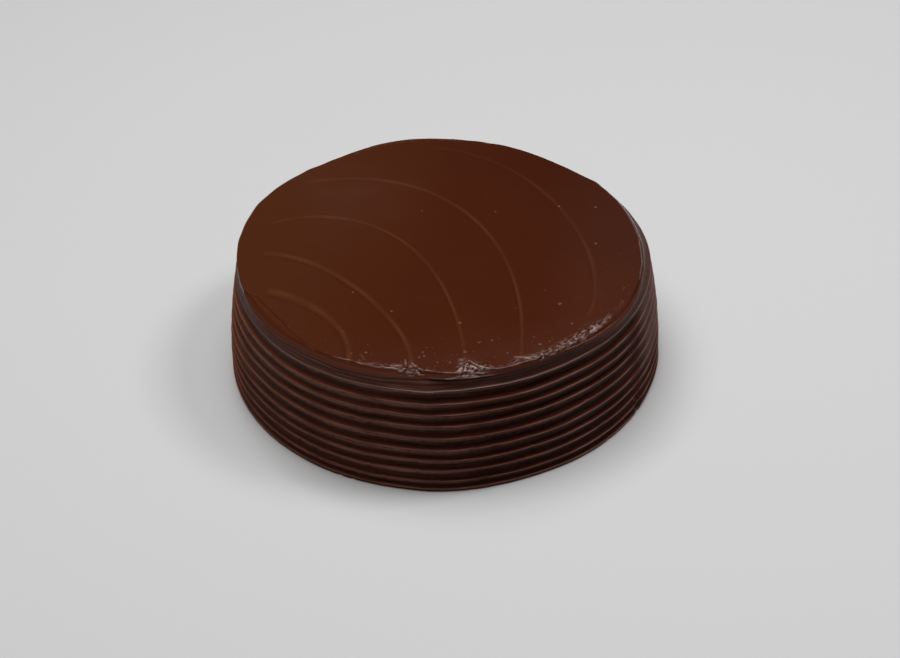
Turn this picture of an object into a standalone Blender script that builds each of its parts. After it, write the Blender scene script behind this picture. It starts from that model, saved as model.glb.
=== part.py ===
"""A whole round cake under combed chocolate frosting, as one closed solid.

The side carries the ridges of a frosting comb, the top edge wanders like any
edge drawn by hand, and low ridges on the top mark the spatula's sweeps.
Metres, +Z up, the cake standing on z = 0 with its footprint centred on the
origin.
"""

import math

import bmesh
import bpy

MM = 0.001

# Driving dimensions.
CAKE_HEIGHT = 64.5 * MM
FOOT_RADIUS = 108.4 * MM
RIM_RADIUS = 100.4 * MM
TOP_DRAW_IN = 7.5 * MM  # how far the ridges lean in at the full height
DRAW_IN_POWER = 1.9
RIDGE_HEIGHTS = [z * MM for z in (56.1, 49.2, 43.4, 37.3, 30.6, 24.0, 18.1, 12.2, 6.0, 1.6)]
GROOVE_DEPTH_TO_PITCH = 0.31
GROOVE_STEPS = (0.17, 0.5, 0.83)
TURN_STEPS = 96

# The plain band between the top ridge and the rim: (height, how far it lies outside RIM_RADIUS).
SHOULDER = [
    (57.4 * MM, 0.9 * MM),
    (59.6 * MM, 0.1 * MM),
    (62.4 * MM, 0.0 * MM),
]

# The lip round the top, from the outside in: (drop below the full height, inset from RIM_RADIUS).
LIP = [
    (0.9 * MM, -0.2 * MM),
    (0.2 * MM, 0.4 * MM),
    (0.0 * MM, 1.4 * MM),
    (0.3 * MM, 3.2 * MM),
    (0.5 * MM, 6.5 * MM),
]
FOOT_TUCK = 0.5 * MM
TOP_FACE_DROP = 0.5 * MM

# The rim's hand-drawn wander: (waves round the cake, swing, angle of one crest).
RIM_WAVES = [
    (1, 1.7 * MM, math.radians(-145)),
    (2, 1.4 * MM, math.radians(-41)),
    (3, 1.0 * MM, math.radians(-23)),
    (4, 0.45 * MM, math.radians(66)),
    (5, 0.65 * MM, math.radians(24)),
    (6, 0.4 * MM, math.radians(31)),
    (8, 0.4 * MM, math.radians(17)),
    (10, 0.3 * MM, math.radians(33)),
]
WANDER_STARTS = 50.0 * MM  # below this height the cake is round
WANDER_FULL = 61.0 * MM  # above it the rim's wander is complete

# The spatula's sweeps across the top, as Bezier control points in millimetres.
SWEEPS = {
    "rim_nick": [(-92, -34), (-78, -48), (-73, -60), (-65, -74)],
    "first": [(-87, -31), (-62, -39), (-42, -66), (-45, -87)],
    "second": [(-92, -1), (-55, 1), (-14, -65), (-16, -91)],
    "third": [(-87, 24), (-51, 42), (1, 19), (9, -85)],
    "fourth": [(-73, 60), (-1, 80), (44, 9), (35, -83)],
    "fifth": [(-35, 89), (40, 111), (85, 2), (70, -51)],
}
SWEEP_ROD_RADIUS = 1.0 * MM
SWEEP_HEIGHT = 0.4 * MM
SWEEP_STEPS = 20
SWEEP_FADE = 0.62  # share of the rod's radius left at the faint end of a sweep


def clear_scene():
    for scene_object in list(bpy.data.objects):
        bpy.data.objects.remove(scene_object, do_unlink=True)


def new_collection(name):
    collection = bpy.data.collections.new(name)
    bpy.context.scene.collection.children.link(collection)
    return collection


def chocolate_material():
    """Dark chocolate frosting with a satin gloss."""
    material = bpy.data.materials.new("chocolate_frosting")
    material.use_nodes = True
    shader = material.node_tree.nodes["Principled BSDF"]
    shader.inputs["Base Color"].default_value = (0.062, 0.014, 0.007, 1.0)
    shader.inputs["Roughness"].default_value = 0.35
    shader.inputs["Metallic"].default_value = 0.0
    return material


def smoothstep(low, high, value):
    t = min(max((value - low) / (high - low), 0.0), 1.0)
    return t * t * (3.0 - 2.0 * t)


def ridge_radius(height):
    """Radius of the comb's ridges at a height: upright low down, leaning in towards the top."""
    return FOOT_RADIUS - TOP_DRAW_IN * (height / CAKE_HEIGHT) ** DRAW_IN_POWER


def groove_points(upper, lower):
    """The hollow between two ridges, scooped out like a shallow bowl."""
    depth = GROOVE_DEPTH_TO_PITCH * (upper - lower)
    points = []
    for step in GROOVE_STEPS:
        height = upper + step * (lower - upper)
        scoop = 1.0 - (2.0 * step - 1.0) ** 2
        points.append((ridge_radius(height) - depth * scoop, height))
    return points


def side_profile():
    """Radius and height of the outer side, from the inner edge of the lip down to the foot."""
    points = [(RIM_RADIUS - inset, CAKE_HEIGHT - drop) for drop, inset in reversed(LIP)]
    points += [(RIM_RADIUS + outset, height) for height, outset in reversed(SHOULDER)]
    for upper, lower in zip(RIDGE_HEIGHTS, RIDGE_HEIGHTS[1:]):
        points.append((ridge_radius(upper), upper))
        points += groove_points(upper, lower)
    points.append((ridge_radius(RIDGE_HEIGHTS[-1]), RIDGE_HEIGHTS[-1]))
    points.append((FOOT_RADIUS - FOOT_TUCK, 0.0))
    return points


def turned_side(name, collection):
    """Turn the profile about Z and return it as a mesh object, open at the top and the foot."""
    mesh = bpy.data.meshes.new(name)
    profile = side_profile()
    vertices = [(radius, 0.0, height) for radius, height in profile]
    mesh.from_pydata(vertices, [(i, i + 1) for i in range(len(vertices) - 1)], [])
    side = bpy.data.objects.new(name, mesh)
    collection.objects.link(side)
    turn = side.modifiers.new("turn", "SCREW")
    turn.axis = "Z"
    turn.steps = TURN_STEPS
    turn.render_steps = TURN_STEPS
    turn.use_merge_vertices = True
    turn.merge_threshold = 0.00001
    bpy.context.view_layer.update()
    evaluated = side.evaluated_get(bpy.context.evaluated_depsgraph_get())
    turned = bpy.data.meshes.new_from_object(evaluated)
    side.modifiers.remove(turn)
    side.data = turned
    bpy.data.meshes.remove(mesh)
    turned.name = name
    return side


def rim_wander(angle):
    return sum(swing * math.cos(waves * (angle - crest)) for waves, swing, crest in RIM_WAVES)


def shape_by_hand(mesh):
    """Push the shoulder and the lip in and out with the rim's wander."""
    for vertex in mesh.vertices:
        x, y, z = vertex.co
        radius = math.hypot(x, y)
        angle = math.atan2(y, x)
        push = rim_wander(angle) * smoothstep(WANDER_STARTS, WANDER_FULL, z)
        vertex.co.x += push * x / radius
        vertex.co.y += push * y / radius


def close_ends(mesh):
    """Fill the top and the foot, each with one flat face."""
    shell = bmesh.new()
    shell.from_mesh(mesh)
    open_edges = [edge for edge in shell.edges if edge.is_boundary]
    bmesh.ops.holes_fill(shell, edges=open_edges, sides=0)
    bmesh.ops.recalc_face_normals(shell, faces=shell.faces)
    shell.to_mesh(mesh)
    shell.free()


def sweep_rod(name, control_points, collection):
    """A buried rod along one sweep: only its crown stands out of the top."""
    curve = bpy.data.curves.new(name, "CURVE")
    curve.dimensions = "3D"
    curve.bevel_depth = SWEEP_ROD_RADIUS
    curve.bevel_resolution = 2
    curve.use_fill_caps = True
    spline = curve.splines.new("BEZIER")
    spline.bezier_points.add(1)
    spline.resolution_u = SWEEP_STEPS
    depth = CAKE_HEIGHT - TOP_FACE_DROP + SWEEP_HEIGHT - SWEEP_ROD_RADIUS
    start, start_handle, end_handle, end = [(x * MM, y * MM, depth) for x, y in control_points]
    first, last = spline.bezier_points
    first.co = start
    first.handle_right = start_handle
    first.handle_left = start
    first.radius = SWEEP_FADE
    last.co = end
    last.handle_left = end_handle
    last.handle_right = end
    guide = bpy.data.objects.new(name + "_curve", curve)
    collection.objects.link(guide)
    bpy.context.view_layer.update()
    evaluated = guide.evaluated_get(bpy.context.evaluated_depsgraph_get())
    mesh = bpy.data.meshes.new_from_object(evaluated)
    welded = bmesh.new()
    welded.from_mesh(mesh)
    bmesh.ops.remove_doubles(welded, verts=welded.verts, dist=0.00001)
    bmesh.ops.recalc_face_normals(welded, faces=welded.faces)
    welded.to_mesh(mesh)
    welded.free()
    rod = bpy.data.objects.new(name, mesh)
    rod.matrix_world = guide.matrix_world
    rod.hide_render = True
    rod.display_type = "WIRE"
    collection.objects.link(rod)
    bpy.data.objects.remove(guide, do_unlink=True)
    return rod


def join_sweeps(cake, rods):
    """Fuse the rods with the cake in one union, then remove them."""
    union = cake.modifiers.new("sweeps", "BOOLEAN")
    union.operation = "UNION"
    union.operand_type = "COLLECTION"
    union.collection = rods
    union.solver = "EXACT"
    bpy.context.view_layer.update()
    evaluated = cake.evaluated_get(bpy.context.evaluated_depsgraph_get())
    fused = bpy.data.meshes.new_from_object(evaluated)
    cake.modifiers.remove(union)
    plain = cake.data
    cake.data = fused
    fused.name = cake.name
    bpy.data.meshes.remove(plain)
    for rod in list(rods.objects):
        bpy.data.objects.remove(rod, do_unlink=True)


def build_cake():
    clear_scene()
    cake_collection = new_collection("banana_cake")
    rods = new_collection("sweep_rods")
    cake = turned_side("frosted_cake", cake_collection)
    shape_by_hand(cake.data)
    close_ends(cake.data)
    for name, control_points in SWEEPS.items():
        sweep_rod(name, control_points, rods)
    join_sweeps(cake, rods)
    cake.data.materials.clear()
    cake.data.materials.append(chocolate_material())
    cake.data.shade_smooth()
    cake.data.set_sharp_from_angle(angle=math.radians(35))
    return cake


build_cake()
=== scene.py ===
"""Whole banana cake in chocolate frosting: the finished look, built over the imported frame.

The frosting is modelled in three closed bodies that overlap out of sight: the combed side, the
rolled rim with the plain shoulder over the top ridge, and the smooth top inside the rim. Low
spatula sweeps, torn frosting along the rim and air bubbles lie on the top.

Tables that run round the cake start each row with an angle in degrees, in rising order, and are
eased from row to row. Angle -90 is the side where the sweeps run out over the rim.
"""

import logging
import math
from dataclasses import dataclass
from enum import Enum, IntEnum

import bpy
import numpy as np
from mathutils import Matrix, Vector


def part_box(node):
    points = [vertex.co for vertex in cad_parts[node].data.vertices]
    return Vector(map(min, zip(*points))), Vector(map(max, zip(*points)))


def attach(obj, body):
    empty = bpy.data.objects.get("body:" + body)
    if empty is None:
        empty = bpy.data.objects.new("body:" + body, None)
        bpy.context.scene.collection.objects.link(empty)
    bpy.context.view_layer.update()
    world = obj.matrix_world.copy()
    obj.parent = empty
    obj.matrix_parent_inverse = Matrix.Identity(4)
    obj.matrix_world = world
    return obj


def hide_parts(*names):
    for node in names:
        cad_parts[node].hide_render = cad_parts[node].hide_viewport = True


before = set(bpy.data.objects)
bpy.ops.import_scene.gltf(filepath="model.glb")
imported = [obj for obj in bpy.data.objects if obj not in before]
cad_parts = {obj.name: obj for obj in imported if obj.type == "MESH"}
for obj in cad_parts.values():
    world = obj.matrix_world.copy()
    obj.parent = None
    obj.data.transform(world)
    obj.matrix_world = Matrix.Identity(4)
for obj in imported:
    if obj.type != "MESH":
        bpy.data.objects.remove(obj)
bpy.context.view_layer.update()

MM = 0.001
NODE = "frosted_cake"
BODY = "root"
FULL_TURN = 2.0 * math.pi
RIM_BAND = 12.0 * MM  # how much of the top belongs to the rim's piece

Table = tuple[tuple[float, ...], ...]
Colour = tuple[float, float, float]

log = logging.getLogger("banana_cake")


class Seed(IntEnum):
    """Where each kind of seeded draw starts. A ridge's or station's number is added to some of them."""

    BUBBLES = 7
    RIM = 11
    LIPS = 12
    FLAKES = 31
    SHOULDER_LINES = 40
    CLOUDS = 52
    CREST_TINT = 77
    RIDGE_SWAY = 100
    RIDGE_TREMOR = 200
    RIDGE_BULGE = 300
    WORN_SPOTS = 400
    WEAR = 500
    GROOVE_DEPTH = 600
    SHOULDER_STREAKS = 700
    SIDE_STREAKS = 800
    FINE_STREAKS = 850
    GROOVE_LINES = 1000


# ---------------------------------------------------------------- small helpers


def smoothstep(low: float, high: float, value: np.ndarray) -> np.ndarray:
    """Ease from 0 at low to 1 at high.

    Args:
        low: value at which the result starts to rise.
        high: value at which it reaches 1.
        value: numbers to ease.

    Returns:
        The eased numbers, from 0 to 1.
    """
    t = np.clip((np.asarray(value) - low) / (high - low), 0.0, 1.0)
    return t * t * (3.0 - 2.0 * t)


def bell(value: np.ndarray, width: float) -> np.ndarray:
    """Height of a smooth bump, 1 in the middle and 1 / e at one width from it."""
    return np.exp(-((np.asarray(value) / width) ** 2))


def angle_gap(angle: np.ndarray, centre: float) -> np.ndarray:
    """Signed angle from centre to angle, in radians, the short way round."""
    return (np.asarray(angle) - centre + math.pi) % FULL_TURN - math.pi


def ripple(
    angle: np.ndarray, seed: int, lowest: int, highest: int, size: float, count: int = 9
) -> np.ndarray:
    """A seeded random wave round the cake that closes on itself.

    Args:
        angle: angles round the cake, in radians.
        seed: picks the wave.
        lowest: fewest waves round the cake.
        highest: most waves round the cake.
        size: root mean square of the wave.
        count: how many plain waves are summed.

    Returns:
        The wave's height at each angle.
    """
    draw = np.random.RandomState(seed)
    orders = draw.randint(lowest, highest + 1, count)
    phases = draw.uniform(0.0, FULL_TURN, count)
    weights = draw.uniform(0.5, 1.0, count)
    total = sum(w * np.cos(n * angle + p) for n, p, w in zip(orders, phases, weights))
    return total * size / math.sqrt(0.5 * float((weights**2).sum()))


def table_at(angle: np.ndarray, table: Table, column: int) -> np.ndarray:
    """Read a table of values round the cake, easing from row to row.

    Args:
        angle: angles round the cake, in radians.
        table: rows that start with an angle in degrees, in rising order.
        column: which column to read.

    Returns:
        The eased value at each angle.
    """
    rows = np.array(table)
    turns = np.concatenate([rows[-1:, 0] - 360.0, rows[:, 0], rows[:1, 0] + 360.0])
    values = np.concatenate([rows[-1:, column], rows[:, column], rows[:1, column]])
    degrees = (np.degrees(np.asarray(angle)) + 180.0) % 360.0 - 180.0
    index = np.clip(np.searchsorted(turns, degrees, side="right") - 1, 0, len(turns) - 2)
    share = smoothstep(0.0, 1.0, (degrees - turns[index]) / (turns[index + 1] - turns[index]))
    return values[index] + share * (values[index + 1] - values[index])


def clouded(x: np.ndarray, y: np.ndarray, seed: int, longest: float, shortest: float) -> np.ndarray:
    """Seeded clouds, a little longer along the first direction.

    Args:
        x: places' first coordinate.
        y: places' second coordinate.
        seed: picks the clouds.
        longest: longest wave, in metres.
        shortest: shortest wave, in metres.

    Returns:
        How thick the clouds are, from about -1 to 1.
    """
    layers = 3
    waves = 9
    spread = 0.55  # of the waves' headings, in radians
    wave_height = 2.1  # root mean square of the summed waves
    depth = 1.1
    loudness = 1.6
    draw = np.random.RandomState(seed)
    total = np.zeros_like(x)
    for _ in range(layers):
        layer = np.zeros_like(x)
        for _ in range(waves):
            heading = draw.normal(math.pi / 2.0, spread)
            wave = FULL_TURN / draw.uniform(shortest, longest)
            swing = wave * (x * math.cos(heading) + y * math.sin(heading))
            layer += np.cos(swing + draw.uniform(0.0, FULL_TURN))
        total += 1.0 - depth * np.abs(layer) / wave_height
    return total / loudness


def shreds(
    along: np.ndarray, across: np.ndarray, seed: int, length: float, breadth: float
) -> tuple[np.ndarray, np.ndarray]:
    """Seeded torn relief made of small flat flakes, most of them tilted outwards.

    Args:
        along: distance along the flakes, in metres.
        across: distance across them, in metres, growing inwards.
        seed: picks the flakes.
        length: mean length of a flake, in metres.
        breadth: mean breadth of a flake, in metres.

    Returns:
        Heights in metres, with a step from flake to flake, and each flake's draw for painted light, from 0
        to 1.
    """
    size = 64  # flakes each way before they repeat
    slope = 0.46
    slope_spread = 0.15
    side_spread = 0.13
    rise = 0.12
    draw = np.random.RandomState(seed)
    shift_u, shift_v = draw.uniform(0.0, 1.0, (2, size, size))
    outward = draw.normal(slope, slope_spread, (size, size))
    sideways = draw.normal(0.0, side_spread, (size, size))
    level = draw.uniform(-rise, rise, (size, size)) * MM
    flake_lightness = draw.uniform(0.0, 1.0, (size, size))
    u, v = along / length, across / breadth
    nearest = np.full_like(u, np.inf)
    relief = np.zeros_like(u)
    painted_lightness = np.zeros_like(u)
    for step_u in (-1, 0, 1):
        for step_v in (-1, 0, 1):
            cell_u, cell_v = np.floor(u).astype(int) + step_u, np.floor(v).astype(int) + step_v
            row, column = cell_u % size, cell_v % size
            off_u = u - cell_u - shift_u[row, column]
            off_v = v - cell_v - shift_v[row, column]
            gap = off_u**2 + off_v**2
            tilt = outward[row, column] * off_v * breadth + sideways[row, column] * off_u * length
            relief = np.where(gap < nearest, level[row, column] + tilt, relief)
            painted_lightness = np.where(gap < nearest, flake_lightness[row, column], painted_lightness)
            nearest = np.minimum(gap, nearest)
    return relief, painted_lightness


def along_path(
    x: np.ndarray, y: np.ndarray, path: np.ndarray, reach: float
) -> tuple[np.ndarray, np.ndarray, np.ndarray]:
    """Find each place's distance from a path.

    Args:
        x: places' first coordinate.
        y: places' second coordinate.
        path: rows of points along the path, closely spaced.
        reach: farther away than this, places are left out.

    Returns:
        Indices of the places in reach, their signed distance (positive on the left) and their share
        of the path.
    """
    low, high = path.min(axis=0) - reach, path.max(axis=0) + reach
    near = np.nonzero((x > low[0]) & (x < high[0]) & (y > low[1]) & (y < high[1]))[0]
    spots = np.column_stack([x[near], y[near]])
    gaps = ((spots[:, None, :] - path[None, :, :]) ** 2).sum(axis=2)
    closest = gaps.argmin(axis=1)
    tangent = np.gradient(path, axis=0)
    step = np.linalg.norm(tangent, axis=1, keepdims=True)
    tangent = tangent / step
    offset = spots - path[closest]
    ahead = (offset * tangent[closest]).sum(axis=1)
    side = offset[:, 1] * tangent[closest, 0] - offset[:, 0] * tangent[closest, 1]
    share = (closest + ahead / step[closest, 0]) / (len(path) - 1)
    return near, side, share


def deselect_all() -> None:
    """Leave edit mode if it is on, and deselect every object."""
    if bpy.context.object is not None and bpy.context.object.mode != "OBJECT":
        bpy.ops.object.mode_set(mode="OBJECT")
    bpy.ops.object.select_all(action="DESELECT")


def coordinates(mesh: bpy.types.Mesh) -> np.ndarray:
    """Read where a mesh's vertices are.

    Args:
        mesh: the mesh.

    Returns:
        Rows of x, y, z.
    """
    places = np.empty(len(mesh.vertices) * 3)
    mesh.vertices.foreach_get("co", places)
    return places.reshape(-1, 3)


def move_to(mesh: bpy.types.Mesh, places: np.ndarray) -> None:
    """Put a mesh's vertices at the given places, rows of x, y, z."""
    mesh.vertices.foreach_set("co", np.ascontiguousarray(places).ravel())
    mesh.update()


def read_attribute(mesh: bpy.types.Mesh, name: str) -> np.ndarray:
    """Read a vertex attribute of a mesh.

    Args:
        mesh: the mesh.
        name: the attribute's name.

    Returns:
        One number for each vertex.
    """
    values = np.empty(len(mesh.vertices))
    mesh.attributes[name].data.foreach_get("value", values)
    return values


def write_attribute(mesh: bpy.types.Mesh, name: str, values: np.ndarray) -> None:
    """Store one number for each vertex of a mesh, for a finish to read."""
    attribute = mesh.attributes.get(name) or mesh.attributes.new(name, "FLOAT", "POINT")
    attribute.data.foreach_set("value", np.ascontiguousarray(values))


def face_outwards(piece: bpy.types.Object, weld: float = 1e-6) -> None:
    """Merge doubles, turn the faces outwards and shade them smooth.

    Args:
        piece: the mesh object to clean.
        weld: distance below which vertices merge.
    """
    deselect_all()
    bpy.context.view_layer.objects.active = piece
    piece.select_set(True)
    bpy.ops.object.mode_set(mode="EDIT")
    bpy.ops.mesh.select_all(action="SELECT")
    bpy.ops.mesh.remove_doubles(threshold=weld)
    bpy.ops.mesh.normals_make_consistent(inside=False)
    bpy.ops.object.mode_set(mode="OBJECT")
    bpy.ops.object.shade_smooth()


def turn_profile(name: str, profile: list[tuple[float, float]], steps: int) -> bpy.types.Object:
    """Extrude a profile point by point and screw it round into a turned body.

    Args:
        name: name of the new object.
        profile: radius and height of each point, from the axis below to the axis above.
        steps: how many segments go round.

    Returns:
        The turned object. Its vertex attribute "station" holds each vertex's place in the profile.
    """
    deselect_all()
    bpy.ops.mesh.primitive_plane_add(size=1.0, location=(0.0, 0.0, 0.0))
    piece = bpy.context.object
    piece.name = name
    piece.data.name = name
    bpy.ops.object.mode_set(mode="EDIT")
    bpy.ops.mesh.select_mode(type="VERT")
    bpy.ops.mesh.select_all(action="SELECT")
    bpy.ops.mesh.merge(type="CENTER")
    bpy.ops.transform.translate(value=(profile[0][0], 0.0, profile[0][1]))
    bpy.ops.object.mode_set(mode="OBJECT")  # so that new points are numbered in the order they are made
    bpy.ops.object.mode_set(mode="EDIT")
    for (radius, height), (next_radius, next_height) in zip(profile, profile[1:]):
        step = (next_radius - radius, 0.0, next_height - height)
        bpy.ops.mesh.extrude_region_move(TRANSFORM_OT_translate={"value": step})
    bpy.ops.object.mode_set(mode="OBJECT")
    write_attribute(piece.data, "station", np.arange(len(profile), dtype=float))
    turn = piece.modifiers.new("turn", "SCREW")
    turn.axis = "Z"
    turn.steps = steps
    turn.render_steps = steps
    bpy.ops.object.modifier_apply(modifier=turn.name)
    face_outwards(piece)
    return piece


def finish_piece(
    piece: bpy.types.Object, material: bpy.types.Material, replaces_node: bool = False
) -> None:
    """Dress a piece, ride it on the cake's body and report it.

    Args:
        piece: the finished mesh object.
        material: its finish.
        replaces_node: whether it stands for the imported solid.
    """
    piece.data.materials.clear()
    piece.data.materials.append(material)
    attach(piece, BODY)
    if replaces_node:
        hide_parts(NODE)
    log.info("%s: %d faces", piece.name, len(piece.data.polygons))


# ---------------------------------------------------------------- finishes


class Grain(Enum):
    """Which way the frosting was drawn, as the stretch of its fine pattern along x, y and z."""

    SMOOTHED = (1.0, 1.0, 1.0)
    COMBED = (0.10, 0.10, 3.2)


@dataclass(frozen=True)
class ChocolateFinish:
    """Satin dark chocolate frosting.

    Clouds run from the deep to the warm colour. The colours below them are taken on where vertex attributes
    are high, in this order: painted light towards one side; the shoulder wall's paler colour on the rim and
    painted sheen on the combed bands; painted shade; painted highlight on crests and sweeps; painted
    highlight on torn frosting, with painted sheen and streaks. The attribute "rough" adds roughness.
    """

    name: str
    grain: Grain
    deep: Colour = (0.059, 0.0112, 0.0034)
    warm: Colour = (0.072, 0.0155, 0.0048)
    # Painted light towards one side.
    painted_light_tint: Colour = (0.080, 0.0232, 0.0085)
    # Painted sheen on the combed bands; on the rim, the shoulder wall's paler colour.
    flank_and_sheen: Colour = (0.086, 0.0265, 0.0155)
    # Painted shade.
    shaded: Colour = (0.030, 0.0062, 0.0030)
    # Painted highlight on the ridges' crests, the top ridge and the sweeps.
    crest: Colour = (0.100, 0.0295, 0.0105)
    # Painted highlight on torn frosting, ridges and streaks, and painted sheen.
    torn_and_painted_highlight: Colour = (0.350, 0.255, 0.235)
    attributes: bool = True
    ior: float = 1.45
    specular: float = 0.13
    smooth: float = 0.18
    dull: float = 0.27
    cloud_scale: float = 26.0
    cloud_detail: float = 4.0
    grain_scale: float = 420.0
    grain_detail: float = 3.0
    grain_depth: float = 0.005 * MM
    grain_range: tuple[float, float] = (0.3, 0.7)
    swell_scale: float = 70.0
    swell_detail: float = 2.0
    swell_depth: float = 0.02 * MM

    def material(self) -> bpy.types.Material:
        """Build the node material.

        Returns:
            The material, with colour, roughness and relief from procedural nodes.
        """
        material = bpy.data.materials.new(self.name)
        material.use_nodes = True
        nodes = material.node_tree.nodes
        links = material.node_tree.links
        shader = nodes["Principled BSDF"]
        shader.inputs["IOR"].default_value = self.ior
        shader.inputs["Specular IOR Level"].default_value = self.specular
        place = nodes.new("ShaderNodeTexCoord")

        clouds = self._noise(nodes, links, place, self.cloud_scale, (1.0, 1.0, 1.0), self.cloud_detail)
        colour = nodes.new("ShaderNodeMix")
        colour.data_type = "RGBA"
        colour.inputs["A"].default_value = (*self.deep, 1.0)
        colour.inputs["B"].default_value = (*self.warm, 1.0)
        links.new(clouds.outputs["Fac"], colour.inputs["Factor"])
        last_colour = colour.outputs["Result"]
        if self.attributes:
            # Painted light, the wall's colour and painted sheen, painted shade, and painted highlights, in
            # this order.
            tints = {
                "tone": self.painted_light_tint,
                "flank_and_sheen": self.flank_and_sheen,
                "shade": self.shaded,
                "crest": self.crest,
                "torn_and_painted_highlight": self.torn_and_painted_highlight,
            }
            for attribute, tint in tints.items():
                last_colour = self._tint(nodes, links, last_colour, attribute, tint)
        links.new(last_colour, shader.inputs["Base Color"])

        streaks = self._noise(nodes, links, place, self.grain_scale, self.grain.value, self.grain_detail)
        gloss = nodes.new("ShaderNodeMapRange")
        gloss.inputs["From Min"].default_value = self.grain_range[0]
        gloss.inputs["From Max"].default_value = self.grain_range[1]
        gloss.inputs["To Min"].default_value = self.smooth
        gloss.inputs["To Max"].default_value = self.dull
        links.new(streaks.outputs["Fac"], gloss.inputs["Value"])
        rougher = nodes.new("ShaderNodeAttribute")
        rougher.attribute_name = "rough"
        roughness = nodes.new("ShaderNodeMath")
        roughness.operation = "ADD"
        links.new(gloss.outputs["Result"], roughness.inputs[0])
        links.new(rougher.outputs["Fac"], roughness.inputs[1])
        links.new(roughness.outputs["Value"], shader.inputs["Roughness"])

        swell = self._noise(nodes, links, place, self.swell_scale, self.grain.value, self.swell_detail)
        coarse = self._bump(nodes, links, swell.outputs["Fac"], self.swell_depth, None)
        fine = self._bump(nodes, links, streaks.outputs["Fac"], self.grain_depth, coarse)
        links.new(fine.outputs["Normal"], shader.inputs["Normal"])
        return material

    @staticmethod
    def _tint(
        nodes: bpy.types.Nodes,
        links: bpy.types.NodeLinks,
        base: bpy.types.NodeSocket,
        attribute: str,
        tint: Colour,
    ) -> bpy.types.NodeSocket:
        """Turn a colour towards a tint where a vertex attribute is high.

        Args:
            nodes: the material's nodes.
            links: the material's links.
            base: colour socket to tint.
            attribute: name of the vertex attribute.
            tint: the colour where the attribute is 1.

        Returns:
            The tinted colour socket.
        """
        amount = nodes.new("ShaderNodeAttribute")
        amount.attribute_name = attribute
        mix = nodes.new("ShaderNodeMix")
        mix.data_type = "RGBA"
        mix.inputs["B"].default_value = (*tint, 1.0)
        links.new(amount.outputs["Fac"], mix.inputs["Factor"])
        links.new(base, mix.inputs["A"])
        return mix.outputs["Result"]

    @staticmethod
    def _noise(
        nodes: bpy.types.Nodes,
        links: bpy.types.NodeLinks,
        place: bpy.types.Node,
        scale: float,
        stretch: tuple[float, float, float],
        detail: float,
    ) -> bpy.types.Node:
        """Noise on object coordinates.

        Args:
            nodes: the material's nodes.
            links: the material's links.
            place: the texture coordinate node.
            scale: features per metre.
            stretch: share of the scale along x, y and z.
            detail: how many finer layers it has.

        Returns:
            The noise node.
        """
        mapping = nodes.new("ShaderNodeMapping")
        mapping.inputs["Scale"].default_value = stretch
        noise = nodes.new("ShaderNodeTexNoise")
        noise.inputs["Scale"].default_value = scale
        noise.inputs["Detail"].default_value = detail
        links.new(place.outputs["Object"], mapping.inputs["Vector"])
        links.new(mapping.outputs["Vector"], noise.inputs["Vector"])
        return noise

    @staticmethod
    def _bump(
        nodes: bpy.types.Nodes,
        links: bpy.types.NodeLinks,
        height: bpy.types.NodeSocket,
        depth: float,
        below: bpy.types.Node | None,
    ) -> bpy.types.Node:
        """A bump node over another one.

        Args:
            nodes: the material's nodes.
            links: the material's links.
            height: socket with the relief.
            depth: how deep the relief is, in metres.
            below: the bump node it goes over, or None.

        Returns:
            The bump node.
        """
        bump = nodes.new("ShaderNodeBump")
        bump.inputs["Distance"].default_value = depth
        links.new(height, bump.inputs["Height"])
        if below is not None:
            links.new(below.outputs["Normal"], bump.inputs["Normal"])
        return bump


# ---------------------------------------------------------------- the cake's form


@dataclass(frozen=True)
class Stroke:
    """A fold or a crease near the rim.

    Its path is rows of angle in degrees and millimetres in from the rim (negative is down the shoulder).
    Width and height are in millimetres, and a crease has a negative height. Painted lightness runs from -1,
    painted shade, to 1, painted highlight.
    """

    path: Table
    width: float
    height: float
    painted_lightness: float


@dataclass(frozen=True)
class Sweep:
    """One pass of the spatula, as Bezier control points in millimetres, and how plainly it shows."""

    control: Table
    strength: float
    width: float = 1.0
    fades_in: float = 0.25
    softness: float = 0.0
    past_end: float = 0.06

    def path(self, count: int = 150) -> np.ndarray:
        """Points along the sweep and a little past its end.

        Args:
            count: how many points.

        Returns:
            Rows of x and y, in metres.
        """
        a, b, c, d = np.array(self.control) * MM
        t = np.linspace(0.0, 1.0 + self.past_end, count)[:, None]
        return (1 - t) ** 3 * a + 3 * (1 - t) ** 2 * t * b + 3 * (1 - t) * t**2 * c + t**3 * d


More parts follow.
